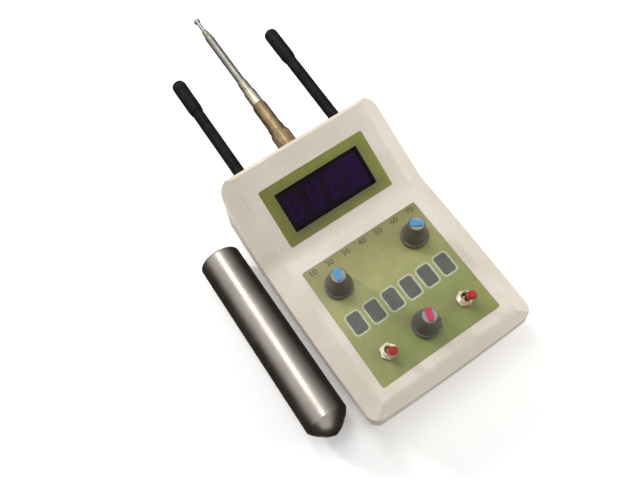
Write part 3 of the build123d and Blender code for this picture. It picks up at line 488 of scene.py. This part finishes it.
def raised_pads(outlines, low, high, edge):
    """Closed pads over flat outlines, as arrays of points (x, u, n) and of faces.

    Every outline is carried up through three rings: its foot at low, its wall's end at high less the edge,
    and a rim drawn in by the edge at high. A pole closes the top and another the foot. The array outlines
    is pads x points x 2.
    """
    outlines = np.asarray(outlines, float)
    pads, count, _ = outlines.shape
    middle = outlines.mean(axis=1, keepdims=True)
    reach = np.linalg.norm(outlines - middle, axis=2, keepdims=True)
    drawn_in = middle + (outlines - middle) * (1 - edge / reach)
    rings = np.stack([outlines, outlines, drawn_in], axis=1)
    heights = np.array([low, high - edge, high])[None, :, None, None]
    heights = np.broadcast_to(heights, rings.shape[:3] + (1,))
    walls = np.concatenate([rings, heights], axis=3).reshape(pads, -1, 3)
    poles = np.stack([np.insert(middle[:, 0], 2, z, axis=1) for z in (low, high)], axis=1)
    points = np.concatenate([walls, poles], axis=1).reshape(-1, 3)
    step = np.arange(count)
    after = (step + 1) % count
    sides = np.concatenate([np.stack([step, after, after + count, step + count], axis=1) + ring * count
                            for ring in range(2)])
    foot = np.stack([after, step, np.full(count, 3 * count)], axis=1)
    top = np.stack([step + 2 * count, after + 2 * count, np.full(count, 3 * count + 1)], axis=1)
    offsets = np.arange(pads)[:, None, None] * (3 * count + 2)
    faces = [*(sides + offsets).reshape(-1, 4).tolist(), *(foot + offsets).reshape(-1, 3).tolist(),
             *(top + offsets).reshape(-1, 3).tolist()]
    return points, faces


def rounded_outline(width, height, radius, steps=8):
    """A rectangle with round corners: four quarter circles, each round its own corner's middle."""
    corner = np.repeat(np.arange(4), steps)
    angle = np.pi / 2 * (corner + np.tile(np.linspace(0, 1, steps), 4))
    middle_x = np.where((corner == 0) | (corner == 3), 1, -1) * (width / 2 - radius)
    middle_y = np.where(corner < 2, 1, -1) * (height / 2 - radius)
    return np.stack([middle_x + radius * np.cos(angle), middle_y + radius * np.sin(angle)], axis=1)


def segment_outlines(height, width, bar, slant, middles):
    """The seven bars of each digit: a long hexagon, laid across or upright, sheared by the slant."""
    rise = (height - bar) / 2
    flat = np.array([[-1, 0], [-1, -1], [1, -1], [1, 0], [1, 1], [-1, 1]], float)
    point = np.array([-1, 0, 0, 1, 0, 0], float)

    def hexagon(length):
        reach = length / 2 - bar * SEGMENT_GAP_SHARE
        x = flat[:, 0] * (reach - bar / 2) + point * bar / 2
        return np.stack([x, flat[:, 1] * bar / 2], axis=1)

    across = hexagon(width)
    upright = hexagon(rise)[:, ::-1] * [1, -1]
    bars = np.array([across + [0, y] for y in (-rise, 0, rise)]
                    + [upright + [x, y] for x in (-width / 2, width / 2) for y in (-rise / 2, rise / 2)])
    bars[..., 0] += bars[..., 1] * tan(slant)
    return (bars[None] + middles[:, None, None]).reshape(-1, len(flat), 2)


def number_mesh(text, height, weight, place):
    """A printed number: Blender's own figures as a thin solid, merged and set in place."""
    curve = bpy.data.curves.new(f"number_{text}", "FONT")
    curve.body, curve.size = text, height / FIGURE_SHARE
    curve.align_x = curve.align_y = "CENTER"
    curve.extrude, curve.offset = PRINT_T / 2, weight
    words = bpy.data.objects.new(f"number_curve_{text}", curve)
    bpy.context.scene.collection.objects.link(words)
    bpy.context.view_layer.update()
    mesh = bpy.data.meshes.new_from_object(words.evaluated_get(bpy.context.evaluated_depsgraph_get()))
    bpy.data.objects.remove(words)
    form = bmesh.new()
    form.from_mesh(mesh)
    bmesh.ops.remove_doubles(form, verts=form.verts, dist=MERGE_REACH)
    form.transform(place)
    form.to_mesh(mesh)
    form.free()
    return mesh


# Finishes


def ivory_plastic():
    """Moulded plastic with a fine grain, handled patches, specks along the fold and painted shade in the
    creases.
    """
    colours = settings().colours
    finish = Finish("ivory plastic")
    tree = finish.tree
    base = finish.tone(colours.ivory, colours.ivory_worn, scale=34.0)
    x, y, _ = axes(tree, finish.place)
    from_fold = absolute(tree, maths(tree, "SUBTRACT", y, FOLD_Y))
    near_fold = ramp(tree, from_fold, FOLD_REACH, 0.0, 0.12, 0.45)
    specks = times(tree, finish.group("Specks", "Mask", Scale=210.0, Size=0.16), near_fold)
    # Painted shade: a thin dark line along the creases between the flat top and the side bevels, where they
    # face up, broken up by the handling marks.
    from_crease = absolute(tree, maths(tree, "SUBTRACT", absolute(tree, x), CREASE_X))
    up = ramp(tree, axes(tree, finish.normal())["Z"], *CREASE_UP)
    crease = times(tree, ramp(tree, from_crease, CREASE_W, 0.0, 0.0, 0.3), up)
    crease_shade = times(tree, crease, finish.group("Rubs", "Mask", Scale=60.0))
    # dirt holds the real specks and the painted crease shade, and both darken to the same brown.
    dirt = maths(tree, "MAXIMUM", specks, crease_shade)
    finish.set(Base_Color=blend(tree, dirt, base, rgba(srgb(150, 136, 112))))
    finish.rubbed(scale=26.0, clean=0.5, worn=0.36)
    return finish.grain(scale=2600.0, distance=0.02 * MM, strength=0.5).material


def printed_film(finish, print_colour, mottle):
    """Ends a label's finish: a print with a faint mottle, handling marks and a fine grain."""
    uneven = finish.tone(WHITE, mottle, scale=130.0)
    finish.set(Base_Color=blend(finish.tree, 1.0, print_colour, uneven, "MULTIPLY"))
    finish.rubbed(scale=30.0, clean=0.42, worn=0.3)
    return finish.grain(scale=1500.0, distance=0.006 * MM, strength=0.4).material


def control_print(face):
    """Printed film: a straw-coloured band between the knobs that turns green towards the user."""
    colours = settings().colours
    far_edge, green = srgb(120, 117, 66), srgb(133, 141, 80)
    straw, dry = srgb(186, 180, 122), srgb(158, 156, 92)
    finish = Finish("control label print")
    tree = finish.tree
    x, u, _ = finish.on_face(face)
    band = put(tree, "ShaderNodeValToRGB", {"Fac": ramp(tree, u, -1.0, 1.0)}).outputs["Color"]
    stops = band.node.color_ramp
    stops.interpolation = "B_SPLINE"
    for stop, colour in zip(stops.elements, (colours.label_low, far_edge)):
        stop.color = rgba(colour)
    for place, colour in ((0.36, green), (0.66, colours.label_high)):
        stops.elements.new(place).color = rgba(colour)
    warm = blend(tree, ramp(tree, x, -1.0, 1.0, 0.16, 0.0), band, rgba(straw))
    rim = ramp(tree, absolute(tree, x), 0.72, 1.0, 0.0, 0.4)
    low = ramp(tree, u, -0.1, -0.7)
    edged = blend(tree, times(tree, rim, low), warm, rgba(dry))
    return printed_film(finish, edged, mottle=srgb(240, 242, 234))


def display_print(face):
    """Printed film round the window, darker towards the left, with painted shade of the window's recess on
    it: deeper next to the window and deepest in the band below the window.
    """
    left, right = srgb(113, 112, 38), srgb(135, 139, 58)
    window_shade_colour, recess_shadow_colour = srgb(92, 90, 44), srgb(80, 80, 58)
    finish = Finish("display label print")
    tree = finish.tree
    x, u, _ = finish.on_face(face)
    # Painted shade of the window's recess: darker next to the window all round, and darkest in the band
    # below it.
    outward = maths(tree, "MAXIMUM", absolute(tree, x), times(tree, absolute(tree, u), 1.16))
    window_shade = ramp(tree, outward, 0.98, 0.8, 0.0, 0.35)
    side = blend(tree, ramp(tree, x, -1.0, 1.0), rgba(left), rgba(right))
    even = blend(tree, 0.5, side, rgba(settings().colours.label_display))
    plain = blend(tree, window_shade, even, rgba(window_shade_colour))
    below = times(tree, ramp(tree, u, -0.64, -0.7), ramp(tree, u, -1.0, -0.7, 0.1, 0.7))
    recess_shadow = times(tree, below, ramp(tree, absolute(tree, x), 0.95, 0.7))
    base = blend(tree, recess_shadow, plain, rgba(recess_shadow_colour))
    return printed_film(finish, base, mottle=srgb(238, 240, 228))


def ink_print(name, light, dark):
    """Printing ink with a slightly uneven cover."""
    finish = Finish(name)
    finish.set(Base_Color=finish.tone(light, dark, scale=420.0))
    return finish.rubbed(scale=60.0, clean=0.45, worn=0.34).material


def tinted_window():
    """Dark violet acrylic with a low-glare coat, clear enough to show the digits, with faint wipe marks."""
    finish = Finish("tinted window")
    tint = finish.tone(settings().colours.window, srgb(82, 34, 92), scale=60.0)
    finish.set(Base_Color=tint, Transmission_Weight=1.0, IOR=1.19)
    return finish.rubbed(scale=40.0, clean=0.03, worn=0.09).material


def glowing_black(finish, glow, scale):
    """Ends the finish of a near-black plastic with a painted glow: emission in place of the light that
    reaches it through the window.
    """
    black = finish.tone(srgb(14, 10, 18), srgb(10, 8, 14), scale)
    finish.set(Base_Color=black, Roughness=0.5, Specular_IOR_Level=0.1, Emission_Color=glow,
               Emission_Strength=1.0)
    return finish.grain(scale=1800.0, distance=0.01 * MM).material


def digit_glow():
    """Bars of the digits in two near tones, with a painted glow in place of the light that reaches them
    through the window.
    """
    digits = settings().colours.digits
    finish = Finish("digit painted glow")
    glow = finish.tone(digits, dimmed(digits, 0.75), scale=300.0)
    return glowing_black(finish, glow, scale=300.0)


def digit_block(face):
    """The black block round the digits, with a faint painted glow in it, stronger at its right end."""
    block, painted_glow_right = settings().colours.block, srgb(104, 56, 110)
    finish = Finish("digit block")
    x, _, _ = finish.on_face(face)
    faint = finish.tone(block, dimmed(block, 0.7), scale=60.0)
    glow = blend(finish.tree, ramp(finish.tree, x, 0.1, 0.7), faint, rgba(painted_glow_right))
    return glowing_black(finish, glow, scale=90.0)


def plain_moulding(name, light, dark, scale=70.0):
    """A moulded piece in two near tones with a fine grain and handling marks."""
    finish = Finish(name)
    finish.set(Base_Color=finish.tone(light, dark, scale))
    finish.rubbed(scale=90.0, clean=0.5, worn=0.35)
    return finish.grain(scale=1800.0, distance=0.012 * MM, strength=0.6).material


def knob_moulding():
    """Soft dark grey, glossier where hands rub it, and paler where dust settles on the skirt."""
    finish = Finish("knob moulding")
    base = finish.tone(settings().colours.knob, srgb(78, 74, 66), scale=160.0)
    dusty = finish.dusted(base, dust=srgb(140, 134, 120), share=0.5, scale=420.0)
    finish.set(Base_Color=dusty, Specular_IOR_Level=0.35)
    finish.rubbed(scale=160.0, clean=0.55, worn=0.38)
    return finish.grain(scale=2400.0, distance=0.014 * MM, strength=0.7).material


def toggle_cap():
    """Soft red vinyl with a dull bloom."""
    finish = Finish("toggle cap vinyl")
    base = finish.tone(settings().colours.toggle, srgb(150, 14, 18), scale=260.0)
    finish.set(Base_Color=finish.dusted(base, dust=srgb(214, 96, 92), share=0.25, scale=500.0))
    finish.rubbed(scale=220.0, clean=0.42, worn=0.28)
    return finish.grain(scale=1600.0, distance=0.01 * MM).material


def plated_metal(name, light, dark, clean, worn):
    """Plated metal with stains and fine scratches."""
    finish = Finish(name)
    finish.set(Base_Color=finish.tone(light, dark, scale=160.0), Metallic=1.0)
    finish.rubbed(scale=160.0, clean=clean, worn=worn)
    return finish.grain(scale=2200.0, distance=0.004 * MM).material


def whip_rubber():
    """Black rubber with a dull bloom, dust on top and rubbed patches."""
    finish = Finish("whip rubber")
    base = finish.tone(settings().colours.rubber, srgb(21, 20, 20), scale=90.0)
    dusty = finish.dusted(base, dust=srgb(56, 54, 51), share=0.3, scale=260.0)
    finish.set(Base_Color=dusty, Specular_IOR_Level=0.12)
    finish.rubbed(scale=70.0, clean=0.6, worn=0.44)
    return finish.grain(scale=1900.0, distance=0.02 * MM, strength=0.7).material


def drawn_tube(name, light, dark):
    """A drawn and plated tube: fine lines round it, stains and finger marks."""
    finish = Finish(name)
    finish.set(Base_Color=finish.tone(light, dark, scale=120.0), Metallic=1.0)
    finish.rubbed(scale=110.0, clean=0.4, worn=0.5)
    lines = finish.group("Lines", "Height", Along=finish.along(ANTENNA_LEAN), Scale=2600.0)
    return finish.bump(lines, distance=0.004 * MM).material


def mast_brass():
    """Tarnished brass: two tones of metal, dark spots and worn bright patches."""
    finish = Finish("mast brass")
    base = finish.tone(settings().colours.brass, srgb(142, 120, 90), scale=240.0)
    spots = times(finish.tree, finish.group("Specks", "Mask", Scale=520.0, Size=0.4), 0.45)
    finish.set(Base_Color=blend(finish.tree, spots, base, rgba(srgb(58, 44, 32))), Metallic=1.0)
    finish.rubbed(scale=260.0, clean=0.52, worn=0.4)
    return finish.grain(scale=1500.0, distance=0.012 * MM).material


def turned_steel():
    """Turned and polished steel: fine lines round the bar stretch its highlights along it."""
    finish = Finish("turned steel")
    tree = finish.tree
    along = finish.along(0.0)
    bands = finish.group("Lines", "Mask", Along=along, Scale=900.0)
    finish.set(Base_Color=finish.tone(settings().colours.steel, srgb(156, 149, 141), scale=45.0),
               Metallic=1.0, Anisotropic=0.4, Roughness=ramp(tree, bands, 0.0, 1.0, 0.27, 0.33),
               Tangent=put(tree, "ShaderNodeTangent", direction_type="RADIAL", axis="Y").outputs["Tangent"])
    lines = finish.group("Lines", "Height", Along=along, Scale=3200.0)
    return finish.bump(lines, distance=0.003 * MM, strength=0.3).material


def circuit_board():
    """Green solder mask in two near tones, with the paler lines of the copper runs under it."""
    finish = Finish("circuit board")
    runs = put(finish.tree, "ShaderNodeTexBrick",
               {"Vector": finish.place, "Scale": 90.0, "Mortar Size": 0.03, "Color1": rgba(srgb(18, 74, 46)),
                "Color2": rgba(srgb(22, 84, 52)), "Mortar": rgba(srgb(58, 128, 78))})
    uneven = finish.tone(WHITE, srgb(214, 224, 212), scale=120.0)
    finish.set(Base_Color=blend(finish.tree, 1.0, runs.outputs["Color"], uneven, "MULTIPLY"))
    finish.rubbed(scale=80.0, clean=0.4, worn=0.28)
    return finish.grain(scale=900.0, distance=0.02 * MM).material


# Operators


class LOCATOR_OT_case(bpy.types.Operator):
    """Gives the two mouldings and the battery door their ivory plastic"""

    bl_idname = "locator.case"
    bl_label = "Case"

    def execute(self, context):
        dress(ivory_plastic(), *SLOT_NODES["ivory_plastic"])
        return {"FINISHED"}


class LOCATOR_OT_labels(bpy.types.Operator):
    """Prints the two labels, the numbers along the far edge and the level bar"""

    bl_idname = "locator.labels"
    bl_label = "Labels"

    def execute(self, context):
        control = Face("control_label", CONTROL_SLOPE, LABEL_T)
        dress(control_print(control), "control_label")
        dress(display_print(Face("display_label", DISPLAY_SLOPE, LABEL_T)), "display_label")
        self.print_numbers(control, settings().prints)
        self.print_level_bar(control, settings().prints, settings().colours)
        return {"FINISHED"}

    def print_numbers(self, control, prints):
        ink = ink_print("scale ink", srgb(80, 80, 56), srgb(66, 66, 46))
        far = control.size[1] / 2 - prints.number_edge
        places = np.linspace(-0.5, 0.5, len(SCALE_NUMBERS)) * prints.number_span
        for number, x in zip(SCALE_NUMBERS, places):
            place = control.matrix(x, far, PRINT_T / 2 - PRINT_SINK)
            mesh = number_mesh(str(number), prints.number_height, prints.number_weight, place)
            add_piece(f"number_{number}", mesh, ink, "case")

    def print_level_bar(self, control, prints, colours):
        middles = row(prints.block_count, prints.block_pitch, -prints.block_place)
        for name, grow, height, light, dark in (
            ("level_bar_outline", prints.block_line, PRINT_T, colours.outline, srgb(172, 176, 146)),
            ("level_bar", 0.0, 2 * PRINT_T, colours.ink, srgb(78, 82, 74)),
        ):
            shape = rounded_outline(prints.block_width + 2 * grow, prints.block_height + 2 * grow,
                                    prints.block_width * BLOCK_CORNER_SHARE + grow)
            points, faces = raised_pads(shape[None] + middles[:, None], -PRINT_SINK, height, PRINT_EDGE)
            ink = ink_print(name.replace("_", " "), light, dark)
            add_piece(name, surface(name, control.at(points), faces), ink, "case")


class LOCATOR_OT_display(bpy.types.Operator):
    """Tints the window and sets the digits, with their painted glow, in the block behind it"""

    bl_idname = "locator.display"
    bl_label = "Display"

    def execute(self, context):
        prints = settings().prints
        block = Face("led_display", DISPLAY_SLOPE, LED_T)
        dress(tinted_window(), "display_window")
        dress(digit_block(block), "led_display")
        outlines = segment_outlines(prints.digit_height, prints.digit_width, prints.segment,
                                    prints.digit_slant, row(DIGITS, prints.digit_pitch))
        points, faces = raised_pads(outlines, SEGMENT_FOOT, SEGMENT_TOP, SEGMENT_EDGE)
        bars = surface("digit_segments", block.at(points), faces)
        add_piece("digit_segments", bars, digit_glow(), "case")
        return {"FINISHED"}


class LOCATOR_OT_knobs(bpy.types.Operator):
    """Finishes the knobs, their caps and their pointers"""

    bl_idname = "locator.knobs"
    bl_label = "Knobs"

    def execute(self, context):
        colours = settings().colours
        dress(knob_moulding(), *SLOT_NODES["knob_grey"])
        for slot, name, light, dark, scale in (
            ("cap_grey", "knob cap", colours.cap, srgb(142, 142, 140), 240.0),
            ("pointer_blue", "blue pointer", colours.pointer_blue, srgb(62, 132, 190), 300.0),
            ("pointer_red", "red pointer", colours.pointer_red, srgb(190, 40, 74), 300.0),
        ):
            dress(plain_moulding(name, light, dark, scale), *SLOT_NODES[slot])
        return {"FINISHED"}


class LOCATOR_OT_switches(bpy.types.Operator):
    """Finishes the toggle switches: cases, nickel nuts and levers, red caps"""

    bl_idname = "locator.switches"
    bl_label = "Switches"

    def execute(self, context):
        nickel, stain = settings().colours.nickel, srgb(186, 172, 150)
        dress(plated_metal("nickel plate", nickel, stain, clean=0.3, worn=0.18), *SLOT_NODES["nickel"])
        dress(plain_moulding("switch case", srgb(48, 52, 60), srgb(38, 42, 50)), *SLOT_NODES["switch_case"])
        dress(toggle_cap(), *SLOT_NODES["red_cap"])
        return {"FINISHED"}


class LOCATOR_OT_whips(bpy.types.Operator):
    """Gives the whips and their sleeves black rubber"""

    bl_idname = "locator.whips"
    bl_label = "Whips"

    def execute(self, context):
        dress(whip_rubber(), *SLOT_NODES["black_rubber"])
        return {"FINISHED"}


class LOCATOR_OT_mast(bpy.types.Operator):
    """Plates the mast's sections and tarnishes its brass foot"""

    bl_idname = "locator.mast"
    bl_label = "Mast"

    WORN_SHARE = 0.72

    def execute(self, context):
        colours = settings().colours
        tubes = {f"mast_section_{i}": getattr(colours, f"section_{i}") for i in range(1, 5)}
        for node, colour in (*tubes.items(), ("mast_tip", colours.mast_end)):
            name = node.replace("_", " ") + " plating"
            dress(drawn_tube(name, colour, dimmed(colour, self.WORN_SHARE)), node)
        dress(mast_brass(), *SLOT_NODES["brass"])
        return {"FINISHED"}


class LOCATOR_OT_grip(bpy.types.Operator):
    """Gives the loose grip its turned steel"""

    bl_idname = "locator.grip"
    bl_label = "Grip"

    def execute(self, context):
        dress(turned_steel(), *SLOT_NODES["turned_steel"])
        return {"FINISHED"}


class LOCATOR_OT_inside(bpy.types.Operator):
    """Finishes what is inside: boards, screws, cans, battery and black mouldings"""

    bl_idname = "locator.inside"
    bl_label = "Inside"

    def execute(self, context):
        mouldings = set(SLOT_NODES["black_plastic"]) - {"led_display"}
        dress(plain_moulding("black moulding", srgb(36, 36, 38), srgb(26, 26, 28)), *sorted(mouldings))
        dress(circuit_board(), *SLOT_NODES["circuit_board"])
        for slot, light, dark, clean, worn in (
            ("screw_steel", srgb(178, 178, 176), srgb(140, 138, 134), 0.34, 0.22),
            ("zinc_can", srgb(186, 186, 184), srgb(160, 160, 156), 0.4, 0.26),
            ("battery_can", srgb(86, 88, 96), srgb(62, 64, 72), 0.36, 0.24),
        ):
            dress(plated_metal(slot.replace("_", " "), light, dark, clean, worn), *SLOT_NODES[slot])
        return {"FINISHED"}


class LOCATOR_OT_stage(bpy.types.Operator):
    """Sets the floor, the light, the background and the photograph's camera"""

    bl_idname = "locator.stage"
    bl_label = "Stage"

    # The floor's half width, its place under the part, and where it turns to plain white.
    FLOOR_REACH = 6.0
    FLOOR_DROP = 0.05 * MM
    FLOOR_FADE = (0.3, 0.8)

    # The lamps' places, and the overhead lamp's turn about the line from it to the part.
    KEY_PLACE = Vector((-0.035, 0.38, 0.92))
    KEY_TURN = radians(-24)
    RIGHT_PLACE = Vector((0.35, -0.17, 0.16))
    LEFT_PLACE = Vector((-0.33, 0.54, 0.33))

    # The cards, which paint dark reflections on the metal: their lift off the floor, how far away and
    # between which ends they stand, the reach of the one under the mast's foot, their tops, and the heights
    # between which they turn white.
    CARD_LIFT = 0.2 * MM
    CARD_AWAY = 0.15
    CARD_ENDS = (-0.3, 0.5)
    FOOT_REACH = 0.045
    LEFT_TOP = 0.18
    LEFT_FADE = (0.04, 0.17)
    GAP_TOP = 0.05
    GAP_FADE = (0.02, 0.048)
    RIGHT_TOP = 0.2
    CARD_FADE = (0.05, 0.2)

    def execute(self, context):
        scene, stage = context.scene, settings().stage
        scene.view_settings.view_transform = "Standard"
        self.add_floor(scene, stage)
        key_size = (stage.key_width, stage.key_length)
        right_size, left_size = (stage.right_size,) * 2, (stage.left_size,) * 2
        self.add_lamp(scene, "key light", self.KEY_PLACE, stage.key_power, key_size, True, self.KEY_TURN)
        self.add_lamp(scene, "right light", self.RIGHT_PLACE, stage.right_power, right_size, False)
        self.add_lamp(scene, "left light", self.LEFT_PLACE, stage.left_power, left_size, False)
        self.add_cards(scene, stage)
        self.add_sky(scene, stage)
        self.add_camera(scene)
        return {"FINISHED"}

    def add_floor(self, scene, stage):
        """A wide square just under the part. Rays that look at it see it lifted, and white far away."""
        reach, low = self.FLOOR_REACH, CAD_BOX[0].z - self.FLOOR_DROP
        mesh = bpy.data.meshes.new("floor")
        mesh.from_pydata([(x * reach, y * reach, low) for x, y in ((-1, -1), (1, -1), (1, 1), (-1, 1))], [],
                         [(0, 1, 2, 3)])
        floor = bpy.data.objects.new("floor", mesh)
        scene.collection.objects.link(floor)
        finish = Finish("pale floor")
        away = put(finish.tree, "ShaderNodeVectorMath", {0: finish.place}, operation="LENGTH")
        lift = ramp(finish.tree, away.outputs["Value"], *self.FLOOR_FADE, stage.floor_lift, 1.0)
        finish.set(Base_Color=finish.tone(stage.floor, dimmed(stage.floor, 0.985), scale=3.0), Roughness=0.9,
                   Specular_IOR_Level=0.1, Emission_Color=rgba(WHITE),
                   Emission_Strength=self.seen(finish.tree, lift))
        mesh.materials.append(finish.material)

    def seen(self, tree, strength, hidden=0.0):
        """The strength for rays that look at a surface, and hidden for those that only light others."""
        rays = put(tree, "ShaderNodeLightPath").outputs
        mirrored = maths(tree, "MAXIMUM", rays["Is Glossy Ray"], rays["Is Transmission Ray"])
        looked = maths(tree, "MAXIMUM", rays["Is Camera Ray"], mirrored)
        return ramp(tree, looked, 0.0, 1.0, hidden, strength)

    def add_lamp(self, scene, name, place, power, size, mirrored, turn=0.0):
        """A soft lamp that looks at the part's middle; one that isn't mirrored leaves no streak on metal."""
        lamp = bpy.data.lights.new(name, "AREA")
        lamp.shape, lamp.energy = "RECTANGLE", power
        lamp.size, lamp.size_y = size
        stand = bpy.data.objects.new(name, lamp)
        stand.location = place
        aim = (-place).to_track_quat("-Z", "Y").to_matrix()
        stand.rotation_euler = (aim @ Matrix.Rotation(turn, 3, "Z")).to_euler()
        stand.visible_glossy = mirrored
        scene.collection.objects.link(stand)

    def add_cards(self, scene, stage):
        """Painted reflections: dark cards seen only in reflections, which paint dark edges on the bare
        metal; the one between grip and case stands in for the shade there.

        They stand left and right of the grip and right of the case, and lie in front of the part, under the
        mast's foot and under the rest of the mast.
        """
        floor = CAD_BOX[0].z + self.CARD_LIFT
        grip_low, grip_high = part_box("grip")
        away = self.CARD_AWAY
        left = grip_low.x - away
        gap = (grip_high.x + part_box("front_shell")[0].x) / 2
        case_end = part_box("rear_shell")[1].y
        foot_end = case_end + self.FOOT_REACH
        first, last = self.CARD_ENDS
        left_side = ((grip_low.x, floor), (left, floor), (left, self.LEFT_TOP))
        right_side = ((away, floor), (away, self.RIGHT_TOP))
        in_front = ((grip_low.x, floor), (away, floor))
        under_mast = ((-away, floor), (away, floor))
        for name, colour, profile, ends, fade in (
            ("left card", stage.card, left_side, (first, last), self.LEFT_FADE),
            ("gap shade card", stage.card, ((gap, floor), (gap, self.GAP_TOP)), (first, case_end), self.GAP_FADE),
            ("right card", stage.card, right_side, (first, last), self.CARD_FADE),
            ("front card", stage.card, in_front, (first, grip_low.y), self.CARD_FADE),
            ("foot card", stage.card, under_mast, (case_end, foot_end), self.CARD_FADE),
            ("antenna card", stage.antenna_card, under_mast, (foot_end, last), self.CARD_FADE),
        ):
            card = self.card_sheet(name, np.array(profile), ends, self.card_board(name, colour, *fade))
            card.visible_camera = card.visible_diffuse = False
            card.visible_transmission = card.visible_shadow = False
            scene.collection.objects.link(card)

    def card_sheet(self, name, profile, ends, material):
        """A profile of points (x, z), carried straight along y from end to end."""
        count = len(profile)
        points = np.concatenate([np.insert(profile, 1, y, axis=1) for y in ends])
        step = np.arange(count - 1)
        faces = np.stack([step, step + 1, step + 1 + count, step + count], axis=1)
        mesh = bpy.data.meshes.new(name)
        mesh.from_pydata(points.tolist(), [], faces.tolist())
        mesh.materials.append(material)
        return bpy.data.objects.new(name, mesh)

    def card_board(self, name, colour, low, high):
        """Card that gives off light for painted reflections: its own colour up to the height low, and white
        from high on.
        """
        finish = Finish(name)
        height = axes(finish.tree, finish.place)["Z"]
        shade = blend(finish.tree, ramp(finish.tree, height, low, high), rgba(colour), rgba(WHITE))
        finish.set(Base_Color=rgba((0, 0, 0)), Specular_IOR_Level=0.0, Emission_Color=shade,
                   Emission_Strength=1.0)
        return finish.material

    def add_sky(self, scene, stage):
        """Even white light; the background itself is plain white."""
        world = bpy.data.worlds.new("studio")
        world.use_nodes = True
        scene.world = world
        sky = world.node_tree.nodes["Background"]
        sky.inputs["Color"].default_value = rgba(WHITE)
        fill(world.node_tree, sky.inputs["Strength"], self.seen(world.node_tree, 1.0, stage.sky))

    def add_camera(self, scene):
        """The solved camera, with its up made square to its look."""
        lens = bpy.data.cameras.new("camera")
        lens.lens, lens.sensor_width = CAMERA_LENS, SENSOR
        camera = bpy.data.objects.new("camera", lens)
        right = CAMERA_LOOK.cross(CAMERA_UP).normalized()
        up = right.cross(CAMERA_LOOK).normalized()
        turn = Matrix((right, up, -CAMERA_LOOK.normalized())).transposed().to_4x4()
        camera.matrix_world = Matrix.Translation(CAMERA_PLACE) @ turn
        scene.collection.objects.link(camera)
        scene.camera = camera


STEPS = (LOCATOR_OT_case, LOCATOR_OT_labels, LOCATOR_OT_display, LOCATOR_OT_knobs, LOCATOR_OT_switches,
         LOCATOR_OT_whips, LOCATOR_OT_mast, LOCATOR_OT_grip, LOCATOR_OT_inside, LOCATOR_OT_stage)


class LOCATOR_PT_panel(bpy.types.Panel):
    """The locator's settings and the steps that dress it"""

    bl_idname = "LOCATOR_PT_panel"
    bl_label = "Locator"
    bl_space_type = "VIEW_3D"
    bl_region_type = "UI"
    bl_category = "Locator"

    def draw(self, context):
        for group in (settings().colours, settings().prints, settings().stage):
            column = self.layout.column(align=True)
            for name in group.__annotations__:
                column.prop(group, name)
        for step in STEPS:
            self.layout.operator(step.bl_idname)


CLASSES = (LocatorColours, LocatorPrints, LocatorStage, LocatorSettings, *STEPS, LOCATOR_PT_panel)


def register():
    for kind in CLASSES:
        bpy.utils.register_class(kind)
    bpy.types.Scene.locator = PointerProperty(type=LocatorSettings)


def unregister():
    del bpy.types.Scene.locator
    for kind in reversed(CLASSES):
        bpy.utils.unregister_class(kind)


def main():
    register()
    for step in STEPS:
        group, name = step.bl_idname.split(".")
        getattr(getattr(bpy.ops, group), name)()


if __name__ == "__main__":
    main()
